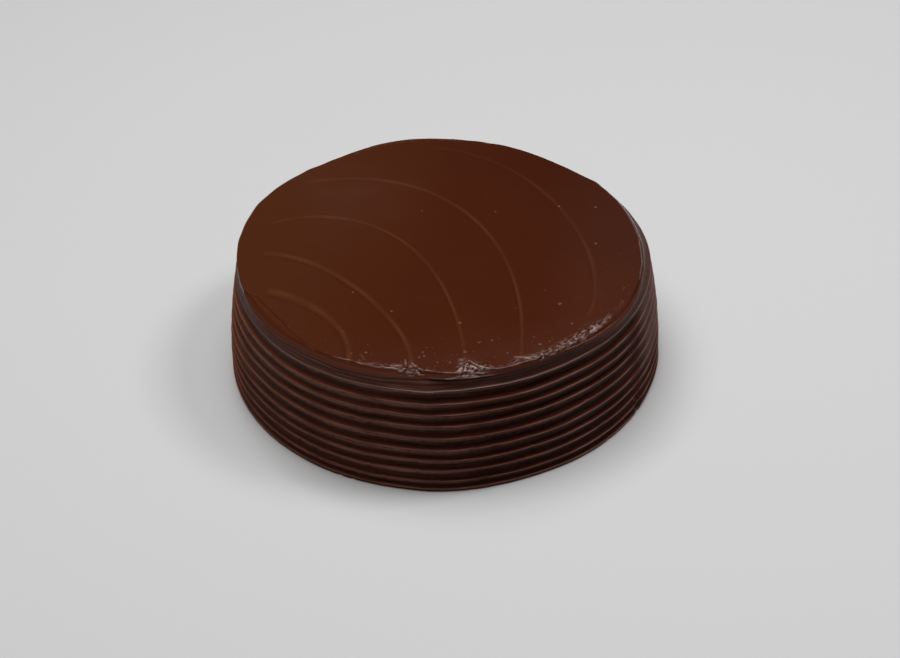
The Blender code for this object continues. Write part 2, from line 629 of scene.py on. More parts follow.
@dataclass(frozen=True)
class SpatulaMark:
    """Cross section of a sweep: a low crest with a longer slope on one side, a gutter on the other.

    Offsets and widths without a unit are shares of the crest's width.
    """

    reach: float = 9.0 * MM
    width: float = 0.85 * MM
    height: float = 0.20 * MM
    long_slope: float = 1.5
    gutter_depth: float = 0.12 * MM
    gutter_offset: float = 2.0
    gutter_width: float = 0.7
    drag_depth: float = 0.03 * MM
    drag_wave: float = 0.55 * MM
    drag_reach: float = 5.0 * MM
    lifts_off: float = 0.97
    waver: float = 0.25
    waver_waves: float = 23.0
    waver_phase: float = 9.0
    # Where the painted highlight lies along the crest and the painted shade by the gutter.
    crest_offset: float = 0.3
    crest_width: float = 1.1
    shade_depth: float = 0.35
    shade_offset: float = 1.9
    shade_width: float = 0.6

    def shown(self, sweep: Sweep, share: np.ndarray) -> np.ndarray:
        """How plainly a sweep shows along its length.

        Args:
            sweep: the sweep.
            share: shares of its path.

        Returns:
            The strength at each share.
        """
        plain = sweep.strength * smoothstep(0.0, sweep.fades_in, share)
        plain = plain * smoothstep(1.0, self.lifts_off, share)
        phase = sweep.width * self.waver_phase
        return plain * (1.0 - self.waver + self.waver * np.cos(share * self.waver_waves + phase))

    def section(
        self, sweep: Sweep, side: np.ndarray, share: np.ndarray
    ) -> tuple[np.ndarray, np.ndarray, np.ndarray]:
        """The mark across a sweep.

        Args:
            sweep: the sweep.
            side: signed distances from its path.
            share: shares of its path.

        Returns:
            The height added, the painted highlight along the crest and the painted shade by the gutter.
        """
        width = self.width * sweep.width
        soft = 1.0 + sweep.softness * smoothstep(0.7, 0.1, share)
        shown = self.shown(sweep, share)
        ridge = np.where(side > 0.0, bell(side, self.long_slope * width * soft), bell(side, width * soft))
        gutter = bell(side + self.gutter_offset * width * soft, self.gutter_width * width)
        drag = self.drag_depth * np.cos(side / self.drag_wave) * bell(side, self.drag_reach)
        lift = shown * (self.height * ridge - self.gutter_depth * gutter + drag)
        # Painted highlight along the crest and painted shade by the gutter.
        crest = shown * bell(side - self.crest_offset * width, self.crest_width * width * soft)
        shade = bell(side + self.shade_offset * width * soft, self.shade_width * width)
        return lift, crest, self.shade_depth * shown * shade


@dataclass(frozen=True)
class CakeForm:
    """Sizes shared by all pieces, and the curves of rim, ridges and top."""

    height: float
    foot_radius: float
    rim_radius: float = 100.4 * MM
    top_draw_in: float = 7.5 * MM
    draw_in_power: float = 1.9
    ridge_inset: float = 0.2 * MM
    ridge_sway: float = 0.05 * MM
    ridge_tremor: float = 0.04 * MM
    ridge_bulge: float = 0.06 * MM
    most_bulge: float = 0.8  # of the ridge's inset
    foot_settled: float = 0.35
    rim_tremor: float = 0.07 * MM
    wear_depth: float = 0.03 * MM
    worn_widths: tuple[float, float] = (0.4, 1.6)
    worn_depths: tuple[float, float] = (0.15, 0.7)
    ridge_heights: tuple[float, ...] = (56.1, 49.2, 43.4, 37.3, 30.6, 24.0, 18.1, 12.2, 6.0, 1.6)
    # Waves round the cake, swing and angle of one crest; then bumps: angle, size and half width.
    rim_waves: Table = (
        (1, 1.7, -145), (2, 1.4, -41), (3, 1.0, -23), (4, 0.45, 66),
        (5, 0.65, 24), (6, 0.4, 31), (8, 0.4, 17), (10, 0.3, 33),
    )
    rim_bumps: Table = ((35, 0.9, 2.2), (156, 0.5, 3.0), (133, 0.4, 2.5))
    top_face_drop: float = 0.5 * MM
    headroom: float = 0.01 * MM
    swell_height: float = 0.6
    outer_fall: float = 0.25
    fall_starts: float = 70.0 * MM
    fall_ends: float = 100.0 * MM
    # Rows of angle; width and drop of the rim's bevel; height of the lip inside it and of the one below it;
    # how far the rim lies outside its waves; how far the shoulder is hollowed, which also sets its painted
    # shade.
    rim_edge: Table = (
        (-180, 0.6, 0.6, 0.0, 0.0, 0.0, 0.2), (-163, 0.5, 0.6, 0.0, 0.0, 0.0, 0.2),
        (-159, 2.6, 2.0, 0.08, 0.0, 0.0, 0.1), (-151, 3.4, 2.8, 0.12, 0.0, 0.0, 0.0),
        (-144, 3.4, 2.8, 0.12, 0.0, 0.0, 0.0), (-136, 2.4, 2.2, 0.12, 0.0, 0.0, 0.0),
        (-127, 2.4, 2.2, 0.20, 0.0, -0.3, 0.0), (-117, 3.0, 2.8, 0.30, 0.05, -0.8, 0.1),
        (-110, 2.6, 2.5, 0.34, 0.05, -0.4, 0.1), (-103, 2.6, 2.5, 0.38, 0.1, -0.4, 0.1),
        (-97, 2.0, 2.2, 0.38, 0.05, -0.4, 0.2), (-92, 1.4, 2.2, 0.34, 0.50, 0.3, 0.4),
        (-86, 1.2, 2.0, 0.34, 0.55, 0.7, 0.5), (-79, 1.5, 2.3, 0.34, 0.40, -0.5, 0.5),
        (-74, 1.1, 1.8, 0.30, 0.12, 0.2, 0.8), (-66, 1.1, 1.6, 0.36, 0.06, -0.2, 0.9),
        (-56, 1.4, 2.0, 0.22, 0.05, -0.6, 0.9), (-48, 1.8, 2.3, 0.16, 0.05, -0.8, 0.8),
        (-40, 2.0, 2.3, 0.12, 0.05, -1.2, 0.6), (-30, 2.0, 2.2, 0.04, 0.0, -1.1, 0.5),
        (-15, 2.1, 2.2, 0.1, 0.0, -0.7, 0.4), (5, 2.2, 2.1, 0.12, 0.0, 0.0, 0.3),
        (40, 1.5, 1.4, 0.1, 0.0, 0.0, 0.2), (95, 1.0, 1.1, 0.12, 0.0, 0.0, 0.2),
        (150, 0.9, 0.8, 0.05, 0.0, 0.0, 0.2),
    )
    # Rows of angle; how far the top ridge, the fifth and the ninth lie outside their even radius.
    ridge_push: Table = (
        (-180, 0.0, 0.0, -0.1), (-160, 0.0, 0.7, -0.5), (-145, 0.4, 0.3, -0.6), (-130, 0.85, 0.45, -0.55),
        (-121, 0.65, 0.45, -0.6), (-113, 0.5, 0.0, -0.6), (-107, 0.2, -0.45, -0.55),
        (-101, 0.55, -0.4, -0.5), (-95, 1.05, 0.0, 0.0), (-89, 0.0, 0.3, -0.1), (-83, -0.45, -0.4, -0.5),
        (-76, -0.55, -1.1, -1.1), (-69, -0.65, -1.25, -1.4), (-62, -0.95, -1.25, -1.3),
        (-55, -1.05, -1.45, -1.0), (-47, -0.55, -1.35, -0.9), (-37, 0.05, -0.8, -0.8),
        (-21, 0.0, -0.45, -0.7), (0, 0.0, 0.0, -0.1), (60, 0.2, -0.2, -0.3), (90, -0.3, 0.2, 0.0),
        (130, 0.2, -0.3, -0.3),
    )
    pushed_apart: int = 4  # ridges from one column of the table above to the next
    # Rows of angle; strength of torn frosting and of the painted highlight and shade on its flakes, its
    # middle in from the rim, its half width, the height of its bank and how far the rim dips outside it.
    torn_and_painted_highlight: Table = (
        (-120, 0.0, 3.0, 1.0, 0.0, 0.0), (-111, 0.3, 4.6, 1.4, 0.1, 0.0), (-103, 0.6, 4.4, 1.6, 0.2, 0.1),
        (-98.5, 1.0, 3.6, 2.6, 0.5, 0.6), (-94, 0.2, 2.4, 1.2, 0.0, 0.1), (-88, 0.3, 2.0, 1.2, 0.0, 0.1),
        (-85.5, 1.0, 4.6, 4.4, 0.6, 0.9), (-80.5, 1.0, 3.6, 3.2, 0.6, 0.8), (-76, 0.2, 2.2, 1.2, 0.05, 0.1),
        (-69, 0.4, 4.2, 1.8, 0.2, 0.0), (-63, 0.9, 3.4, 1.8, 0.4, 0.4), (-58, 0.8, 3.0, 1.8, 0.45, 0.4),
        (-51, 1.0, 3.8, 2.4, 0.65, 0.6), (-44, 1.0, 4.2, 2.4, 0.65, 0.6), (-38, 0.5, 4.1, 1.8, 0.5, 0.4),
        (-33, 0.15, 4.0, 1.3, 0.2, 0.2), (-27, 0.0, 6.0, 1.0, 0.0, 0.0), (60, 0.0, 2.0, 1.0, 0.0, 0.0),
        (100, 0.15, 2.0, 1.2, 0.0, 0.0), (150, 0.0, 2.0, 1.0, 0.0, 0.0),
    )
    # Nicks in the ridges: ridge number, angle, depth and half width.
    nicks: Table = (
        (7, -110.5, 0.8, 0.8), (8, -106.5, 0.9, 0.9), (7, -97.8, 0.7, 1.0), (8, -29.0, 1.0, 1.1),
        (9, -29.5, 1.1, 1.1), (5, -84.0, 0.6, 1.4), (8, -81.0, 0.8, 2.2), (1, -12.0, 0.5, 1.0),
    )
    strokes: tuple[Stroke, ...] = (
        Stroke(((-115.1, 9.4), (-113.2, 6.6), (-111.6, 5.0), (-109.6, 3.9)), 0.45, 0.12, 0.14),
        Stroke(((-121.0, 2.6), (-116.0, 3.1), (-111.0, 3.0), (-107.0, 3.2)), 0.35, 0.12, 0.42),
        Stroke(((-161.2, -0.8), (-160.0, 3.0), (-158.0, 4.6)), 0.6, -0.25, -0.4),
        Stroke(((-94.1, 1.8), (-92.0, 1.7), (-89.0, 1.5), (-87.0, 1.3)), 0.35, 0.12, 0.6),
        Stroke(((-78.4, 1.5), (-76.0, 1.3), (-74.0, 1.4), (-72.1, 1.3)), 0.35, 0.1, 0.5),
        Stroke(
            ((-158.0, 4.7), (-151.0, 6.3), (-144.0, 6.6), (-136.0, 4.4), (-128.0, 2.4)),
            0.45, -0.34, -0.5,
        ),
        Stroke(((-99.2, 40.0), (-91.8, 30.6), (-85.9, 21.0)), 1.0, -0.10, -0.1),
        Stroke(((-82.9, 9.3), (-81.1, 4.6), (-79.8, 2.5), (-78.4, 1.5)), 0.45, 0.45, 1),
        Stroke(((-81.8, 8.8), (-80.6, 6.1), (-79.1, 3.4)), 0.5, -0.3, -0.6),
        Stroke(((-84.3, 10.2), (-83.0, 7.2), (-81.7, 4.2), (-80.6, 1.6)), 0.4, -0.4, -0.8),
        Stroke(((-84.1, 7.0), (-83.1, 5.4), (-81.9, 3.3), (-80.9, 1.1)), 0.6, 0.5, 1),
        Stroke(((-84.2, 4.8), (-83.3, 3.4), (-82.2, 1.6)), 0.3, -0.35, -0.8),
        Stroke(((-84.8, 2.2), (-83.5, 1.6), (-81.7, 0.2), (-79.9, -0.8)), 0.7, 0.4, 0.95),
        Stroke(((-85.6, -0.4), (-84.2, -0.4), (-82.1, -1.6)), 0.5, 0.15, 0.55),
        Stroke(((-85.3, 0.4), (-84.6, 2.9), (-84.1, 5.3)), 0.6, 0.3, 0.8),
        Stroke(((-82.4, -0.5), (-81.1, -1.5), (-79.5, -1.9)), 0.3, -0.3, -0.9),
        Stroke(((-86.4, 2.1), (-86.1, 3.7), (-85.4, 4.6)), 0.5, 0.3, 0.8),
        Stroke(((-85.9, 0.5), (-85.4, 2.3), (-84.8, 5.0)), 0.25, -0.35, -0.8),
        Stroke(((-90.4, -2.5), (-86.3, -0.9), (-83.7, -1.6), (-80.4, -2.5), (-77.0, -2.3)), 0.3, 0.15, 0.5),
        Stroke(((-84.8, 16.4), (-85.4, 6.1)), 1.8, 0, 0.22),
        Stroke(((-102.3, 1.3), (-101.6, 2.0), (-101.1, 2.9), (-100.7, 3.9)), 0.5, 0.35, 1),
        Stroke(((-106.5, 3.3), (-104.5, 3.0), (-103.1, 2.4), (-101.9, 1.4)), 0.45, 0.2, 0.8),
        Stroke(((-104.0, 5.1), (-102.0, 5.6)), 0.5, 0.1, 0.35),
        Stroke(((-101.8, 10.0), (-101.2, 6.8)), 0.4, 0.15, 0.5),
        Stroke(((-99.6, 7.9), (-98.7, 6.0), (-97.6, 3.8), (-96.5, 2.4), (-94.1, 1.8)), 0.4, 0.35, 0.65),
        Stroke(((-98.3, 3.3), (-97.6, 1.6), (-96.9, -0.3)), 0.6, 0.35, 1),
        Stroke(((-100.4, 1.3), (-99.2, 1.1), (-97.8, 0.7)), 0.6, 0.2, 0.6),
        Stroke(((-98.2, 4.5), (-97.2, 2.5), (-95.9, 0.4)), 0.35, -0.35, -0.8),
        Stroke(((-101.9, 3.5), (-100.8, 5.1), (-100.4, 7.9)), 0.3, -0.3, -0.5),
        Stroke(((-102.7, -0.4), (-100.8, -1.0), (-98.8, -0.7), (-96.9, -1.6)), 0.35, -0.3, -0.8),
        Stroke(((-69.9, 6.8), (-68.0, 4.9), (-66.0, 2.2)), 0.7, 0.25, 0.6),
        Stroke(((-72.1, 1.3), (-69.7, 1.6), (-66.8, 1.3), (-64.5, 1.2), (-63.4, 2.0)), 0.45, 0.26, 0.7),
        Stroke(((-66.4, 4.8), (-64.3, 3.7), (-63.2, 1.7), (-63.7, -0.2)), 0.35, -0.35, -0.9),
        Stroke(((-62.7, 3.2), (-62.7, 1.6), (-63.1, -0.3)), 0.6, 0.35, 0.9),
        Stroke(((-62.1, 1.2), (-60.6, 0.7), (-59.2, 0.1)), 0.7, 0.25, 0.6),
        Stroke(((-58.7, 1.3), (-56.2, 1.9), (-54.5, 1.5)), 1, 0.2, 0.45),
        Stroke(((-53.9, 2.0), (-51.3, 1.7), (-48.5, 1.7)), 0.7, 0.15, 0.4),
        Stroke(((-48.0, 2.4), (-45.6, 3.2), (-42.7, 3.9)), 0.9, 0.2, 0.4),
        Stroke(((-42.1, 4.1), (-39.5, 3.6)), 0.8, 0.1, 0.2),
        Stroke(
            ((-55.3, -3.6), (-49.1, -0.9), (-44.5, 0.9), (-38.7, 2.3), (-33.8, 2.2), (-29.2, 1.6),
             (-22.8, 1.2)),
            0.7, -0.12, -0.55,
        ),
        Stroke(
            ((1.3, 1.9), (-1.7, 1.7), (-5.6, 1.3), (-10.9, 1.0), (-15.7, 1.1), (-17.7, 1.5)),
            0.35, 0.3, 0.5,
        ),
        Stroke(
            ((-0.2, 0.6), (-5.6, 0.1), (-10.9, -0.1), (-15.2, 0.2), (-19.5, 1.0), (-24.9, 1.8)),
            0.9, -0.15, -0.8,
        ),
    )
    sweeps: tuple[Sweep, ...] = (
        Sweep(((-87, -31), (-62, -39), (-42, -66), (-45, -87)), 0.9, 1.1, 0.05, 1.0),
        Sweep(((-92, -1), (-55, 1), (-14, -65), (-16, -91)), 1.0, 0.95, 0.05, 0.5),
        Sweep(((-87, 24), (-51, 42), (1, 19), (9, -85)), 0.85, 0.75, 0.05, 0.2),
        Sweep(((-73, 60), (-1, 80), (44, 9), (35, -83)), 0.85, 0.75, 0.05, 0.4),
        Sweep(((-35, 89), (40, 111), (85, 2), (70, -51)), 0.5, 0.9, 0.5),
    )
    mark: SpatulaMark = SpatulaMark()
    shred_slant: float = 0.16
    shred_length: float = 2.0 * MM
    shred_breadth: float = 0.85 * MM
    shred_relief: float = 0.6
    # Painted highlight on pale flakes and painted shade on dark ones.
    shred_highlight: float = 0.62
    shred_shade: float = 0.7
    bank_width: float = 0.75
    dip_ends: tuple[float, float] = (-1.2 * MM, 0.6 * MM)
    stroke_points: int = 12
    stroke_reach: float = 4.0
    stroke_starts: tuple[float, float] = (-0.15, 0.12)
    stroke_ends: tuple[float, float] = (1.15, 0.88)
    stroke_tint_width: float = 0.8
    # Share of a pale stroke's painted highlight.
    flake_highlight: tuple[float, float] = (0.4, 0.8)  # of a pale stroke: everywhere, and added on pale flakes
    # Painted light towards one side of the top.
    painted_light_side: float = 0.75
    # Painted sheen on the top.
    painted_sheen_front: float = 0.016
    painted_sheen_left: float = 0.018
    painted_sheen_right: float = 0.020
    painted_sheen_clouds: float = 0.003
    # Painted shade on the top.
    gloom_least: float = 0.09
    gloom_added: float = 0.28

    def ridge_radius(self, height: float) -> float:
        """Even radius of the ridges at a height: upright low down, leaning in towards the top."""
        return self.foot_radius - self.top_draw_in * (height / self.height) ** self.draw_in_power

    def ridge(self, number: int, angle: np.ndarray) -> tuple[np.ndarray, np.ndarray]:
        """Where one ridge lies, with the hand's wobble.

        Args:
            number: the ridge, counted from the top.
            angle: angles round the cake, in radians.

        Returns:
            Radii and heights.
        """
        nominal = self.ridge_heights[number] * MM
        settled = self.foot_settled if number == len(self.ridge_heights) - 1 else 1.0
        height = nominal + settled * ripple(angle, Seed.RIDGE_SWAY + number, 1, 7, self.ridge_sway)
        height = height + settled * ripple(angle, Seed.RIDGE_TREMOR + number, 9, 40, self.ridge_tremor)
        bulge = ripple(angle, Seed.RIDGE_BULGE + number, 3, 19, self.ridge_bulge)
        radius = self.ridge_radius(nominal) - self.ridge_inset
        radius = radius + np.minimum(bulge, self.ridge_inset * self.most_bulge)
        radius = radius + self.push(number, angle)
        return radius - self.wear(number, angle), height

    def push(self, number: int, angle: np.ndarray) -> np.ndarray:
        """How far a ridge lies outside its even radius.

        Args:
            number: the ridge, counted from the top.
            angle: angles round the cake, in radians.

        Returns:
            Distances, in metres.
        """
        known = [table_at(angle, self.ridge_push, column) for column in (1, 2, 3)]
        share = min(number, 2 * self.pushed_apart) / self.pushed_apart
        lower = min(int(share), 1)
        return (known[lower] + (share - lower) * (known[lower + 1] - known[lower])) * MM

    def wear(self, number: int, angle: np.ndarray) -> np.ndarray:
        """Small nicks along a ridge, more of them low down.

        Args:
            number: the ridge, counted from the top.
            angle: angles round the cake, in radians.

        Returns:
            How much of the ridge is lost, in metres.
        """
        draw = np.random.RandomState(Seed.WORN_SPOTS + number)
        loss = np.abs(ripple(angle, Seed.WEAR + number, 60, 180, self.wear_depth))
        for _ in range(3 + number):
            middle = draw.uniform(-math.pi, math.pi)
            width = draw.uniform(*self.worn_widths) * MM / self.foot_radius
            depth = draw.uniform(*self.worn_depths) * MM
            loss = loss + depth * bell(angle_gap(angle, middle), width)
        for ridge, middle, depth, half_width in self.nicks:
            if ridge == number:
                gap = angle_gap(angle, math.radians(middle))
                loss = loss + depth * MM * bell(gap, half_width * MM / self.foot_radius)
        return loss

    def wander(self, angle: np.ndarray) -> np.ndarray:
        """How far the rim lies outside its mean radius.

        Args:
            angle: angles round the cake, in radians.

        Returns:
            Distances, in metres.
        """
        total = np.zeros_like(angle)
        for waves, swing, crest in self.rim_waves:
            total += swing * MM * np.cos(waves * (angle - math.radians(crest)))
        for middle, size, half_width in self.rim_bumps:
            total += size * MM * bell(angle_gap(angle, math.radians(middle)), math.radians(half_width))
        return total

    def rim(self, angle: np.ndarray) -> np.ndarray:
        """Radius of the rim.

        Args:
            angle: angles round the cake, in radians.

        Returns:
            Radii, in metres.
        """
        shift = table_at(angle, self.rim_edge, 5) * MM
        radius = self.rim_radius + self.wander(angle) + shift
        return radius + ripple(angle, Seed.RIM, 20, 60, self.rim_tremor)

    def top(self, x: np.ndarray, y: np.ndarray) -> np.ndarray:
        """The smooth top before sweeps and folds: nearly flat, with the slow swell that a spatula leaves.

        Args:
            x: places' first coordinate.
            y: places' second coordinate.

        Returns:
            Heights, in metres.
        """
        broad = 0.10 * np.sin(x / (21.0 * MM) + 0.6) * np.cos(y / (33.0 * MM) - 0.4)
        slanting = 0.07 * np.sin((x + 0.8 * y) / (14.0 * MM) + 2.1)
        fall = self.outer_fall * smoothstep(self.fall_starts, self.fall_ends, np.hypot(x, y))
        return self.height - self.top_face_drop + ((broad + slanting) * self.swell_height - fall) * MM

    def swept(self, x: np.ndarray, y: np.ndarray) -> tuple[np.ndarray, np.ndarray, np.ndarray]:
        """What the spatula's sweeps add to the top.

        Args:
            x: places' first coordinate.
            y: places' second coordinate.

        Returns:
            The height added, the painted highlight on a crest and the painted shade by a gutter, from 0 to
            1.
        """
        lift = np.zeros_like(x)
        crest = np.zeros_like(x)
        shade = np.zeros_like(x)
        for sweep in self.sweeps:
            near, side, share = along_path(x, y, sweep.path(), self.mark.reach)
            added, painted_crest_highlight, painted_gutter_shade = self.mark.section(sweep, side, share)
            lift[near] += added
            crest[near] = np.maximum(crest[near], painted_crest_highlight)
            shade[near] = np.maximum(shade[near], painted_gutter_shade)
        return lift, crest, shade

    def tone(self, x: np.ndarray, y: np.ndarray) -> np.ndarray:
        """Painted light on the top: paler towards one side."""
        across = (0.9 * x - 0.25 * y) / self.rim_radius
        return self.painted_light_side * smoothstep(0.15, -1.0, across)

    def painted_sheen(self, x: np.ndarray, y: np.ndarray) -> np.ndarray:
        """Painted sheen on the top: most at the front, the right and the back left, in clouds.

        Args:
            x: places' first coordinate.
            y: places' second coordinate.

        Returns:
            Shares from 0 to 1.
        """
        radius = self.rim_radius
        front = smoothstep(0.6 * radius, radius, -y + 0.1 * x)
        left = bell(np.hypot(x + 0.45 * radius, y - 0.5 * radius), 0.26 * radius)
        right = smoothstep(0.35 * radius, 0.95 * radius, x - 0.15 * y)
        clouds = clouded(x, y, Seed.CLOUDS, 60.0 * MM, 14.0 * MM)
        painted_sheen_sum = self.painted_sheen_front * front + self.painted_sheen_left * left + self.painted_sheen_right * right
        return np.clip(painted_sheen_sum + self.painted_sheen_clouds * clouds * (0.3 + front + left), 0.0, 1.0)

    def gloom(self, x: np.ndarray, y: np.ndarray) -> np.ndarray:
        """Painted shade on the top: darker towards the other side."""
        across = (0.8 * x + 0.6 * y) / self.rim_radius
        return self.gloom_least + self.gloom_added * smoothstep(-0.05, 0.95, across)

    def folded(self, angle: np.ndarray, inset: np.ndarray) -> tuple[np.ndarray, np.ndarray]:
        """What folds, creases and torn frosting add near the rim.

        Args:
            angle: angles round the cake, in radians.
            inset: distances in from the rim, in metres; negative is down the shoulder.

        Returns:
            The thickness added, in metres, and the painted light, from painted shade at -1 to painted
            highlight at 1.
        """
        middle = table_at(angle, self.torn_and_painted_highlight, 2) * MM
        half = table_at(angle, self.torn_and_painted_highlight, 3) * MM
        strength = table_at(angle, self.torn_and_painted_highlight, 1) * bell(inset - middle, half)
        arc_length = angle * self.rim_radius
        slanted = arc_length * math.cos(self.shred_slant) + inset * math.sin(self.shred_slant)
        inwards = inset * math.cos(self.shred_slant) - arc_length * math.sin(self.shred_slant)
        relief, flake = shreds(slanted, inwards, Seed.FLAKES, self.shred_length, self.shred_breadth)
        total = self.shred_relief * strength * relief
        # Painted highlight on pale flakes, painted shade on dark ones.
        bright = self.shred_highlight * smoothstep(0.35, 0.95, flake) ** 1.5
        painted_lightness = strength * (bright - self.shred_shade * smoothstep(0.30, 0.12, flake))
        total += table_at(angle, self.torn_and_painted_highlight, 4) * MM * bell(inset - middle, self.bank_width * half)
        fall = smoothstep(1.0, 0.0, inset / middle) * smoothstep(*self.dip_ends, inset)
        total -= table_at(angle, self.torn_and_painted_highlight, 5) * MM * fall
        for stroke in self.strokes:
            path = np.array(stroke.path)
            path = np.column_stack([path[:, 0] * math.radians(1.0) * self.rim_radius, path[:, 1] * MM])
            steps = np.linspace(0.0, len(path) - 1.0, self.stroke_points * len(path))
            smooth = np.column_stack([np.interp(steps, np.arange(len(path)), path[:, k]) for k in (0, 1)])
            reach = self.stroke_reach * stroke.width * MM
            near, side, share = along_path(arc_length, inset, smooth, reach)
            ends = smoothstep(*self.stroke_starts, share) * smoothstep(*self.stroke_ends, share)
            total[near] += stroke.height * MM * bell(side, stroke.width * MM) * ends
            # Painted highlight along pale strokes, broken by the flakes, and painted shade along dark ones.
            broken = self.flake_highlight[0] + self.flake_highlight[1] * flake[near] if stroke.painted_lightness > 0.0 else 1.0
            tint_width = self.stroke_tint_width * stroke.width * MM
            painted_lightness[near] += stroke.painted_lightness * broken * bell(side, tint_width) * ends
        return total, np.clip(painted_lightness, -1.0, 1.0)

    def crown(
        self, x: np.ndarray, y: np.ndarray
    ) -> tuple[np.ndarray, np.ndarray, np.ndarray]:
        """The whole top surface inside the rim's bevel, with sweeps and folds.

        Args:
            x: places' first coordinate.
            y: places' second coordinate.

        Returns:
            Heights, the painted highlight on the sweeps' crests and the painted shade by their gutters, from
            0 to 1.
        """
        angle = np.arctan2(y, x)
        inset = self.rim(angle) - np.hypot(x, y)
        lift, crest, shade = self.swept(x, y)
        height = self.top(x, y) + lift + self.folded(angle, inset)[0]
        return np.minimum(height, self.height - self.headroom), crest, shade


# ---------------------------------------------------------------- the combed side


@dataclass(frozen=True)
class Comb:
    """The comb's teeth: the shape of the groove between two ridges."""

    form: CakeForm
    depth_to_pitch: float = 0.30
    undercut: float = 0.17
    first_undercut: float = 0.26
    flare_start: float = 0.50
    flare_power: float = 2.6
    crest_lip: float = 0.08
    crest_lip_power: float = 14.0
    unevenness: float = 0.06
    line_depth: float = 0.045 * MM
    tremor: float = 0.012 * MM

    def scoop(self, ridge: int, share: float) -> float:
        """How deep the groove is on the way from a ridge to the next one below.

        Under the ridge the groove cuts in at once, then it falls upright and flares out to the next ridge.

        Args:
            ridge: the upper ridge, counted from the top.
            share: share of the way down.

        Returns:
            Share of the groove's full depth.
        """
        undercut = self.first_undercut if ridge == 0 else self.undercut
        if share < undercut:
            return 1.0 - (1.0 - share / undercut) ** 2
        flared = max(share - self.flare_start, 0.0) / (1.0 - self.flare_start)
        slope = (1.0 - self.crest_lip) * flared**self.flare_power
        return 1.0 - slope - self.crest_lip * flared**self.crest_lip_power

    def groove(self, ridge: int, share: float, angle: np.ndarray) -> tuple[np.ndarray, np.ndarray]:
        """Where the groove's surface lies on the way from a ridge to the next one below.

        Args:
            ridge: the upper ridge, counted from the top.
            share: share of the way down.
            angle: angles round the cake, in radians.

        Returns:
            Radii and heights.
        """
        upper_radius, upper_height = self.form.ridge(ridge, angle)
        if share == 0.0:
            return upper_radius, upper_height
        lower_radius, lower_height = self.form.ridge(ridge + 1, angle)
        pitch = upper_height - lower_height
        uneven = 1.0 + ripple(angle, Seed.GROOVE_DEPTH + ridge, 1, 12, self.unevenness)
        depth = self.depth_to_pitch * pitch * uneven
        scoop = self.scoop(ridge, share)
        seed = Seed.GROOVE_LINES + 40 * ridge + int(share * 37)
        line = np.random.RandomState(seed).uniform(-1.0, 1.0) * self.line_depth
        line = line + ripple(angle, seed, 2, 30, self.line_depth)
        line = line + ripple(angle, seed + 9, 60, 200, self.tremor)
        radius = upper_radius + share * (lower_radius - upper_radius) - (depth + line) * scoop
        return radius, upper_height - share * pitch


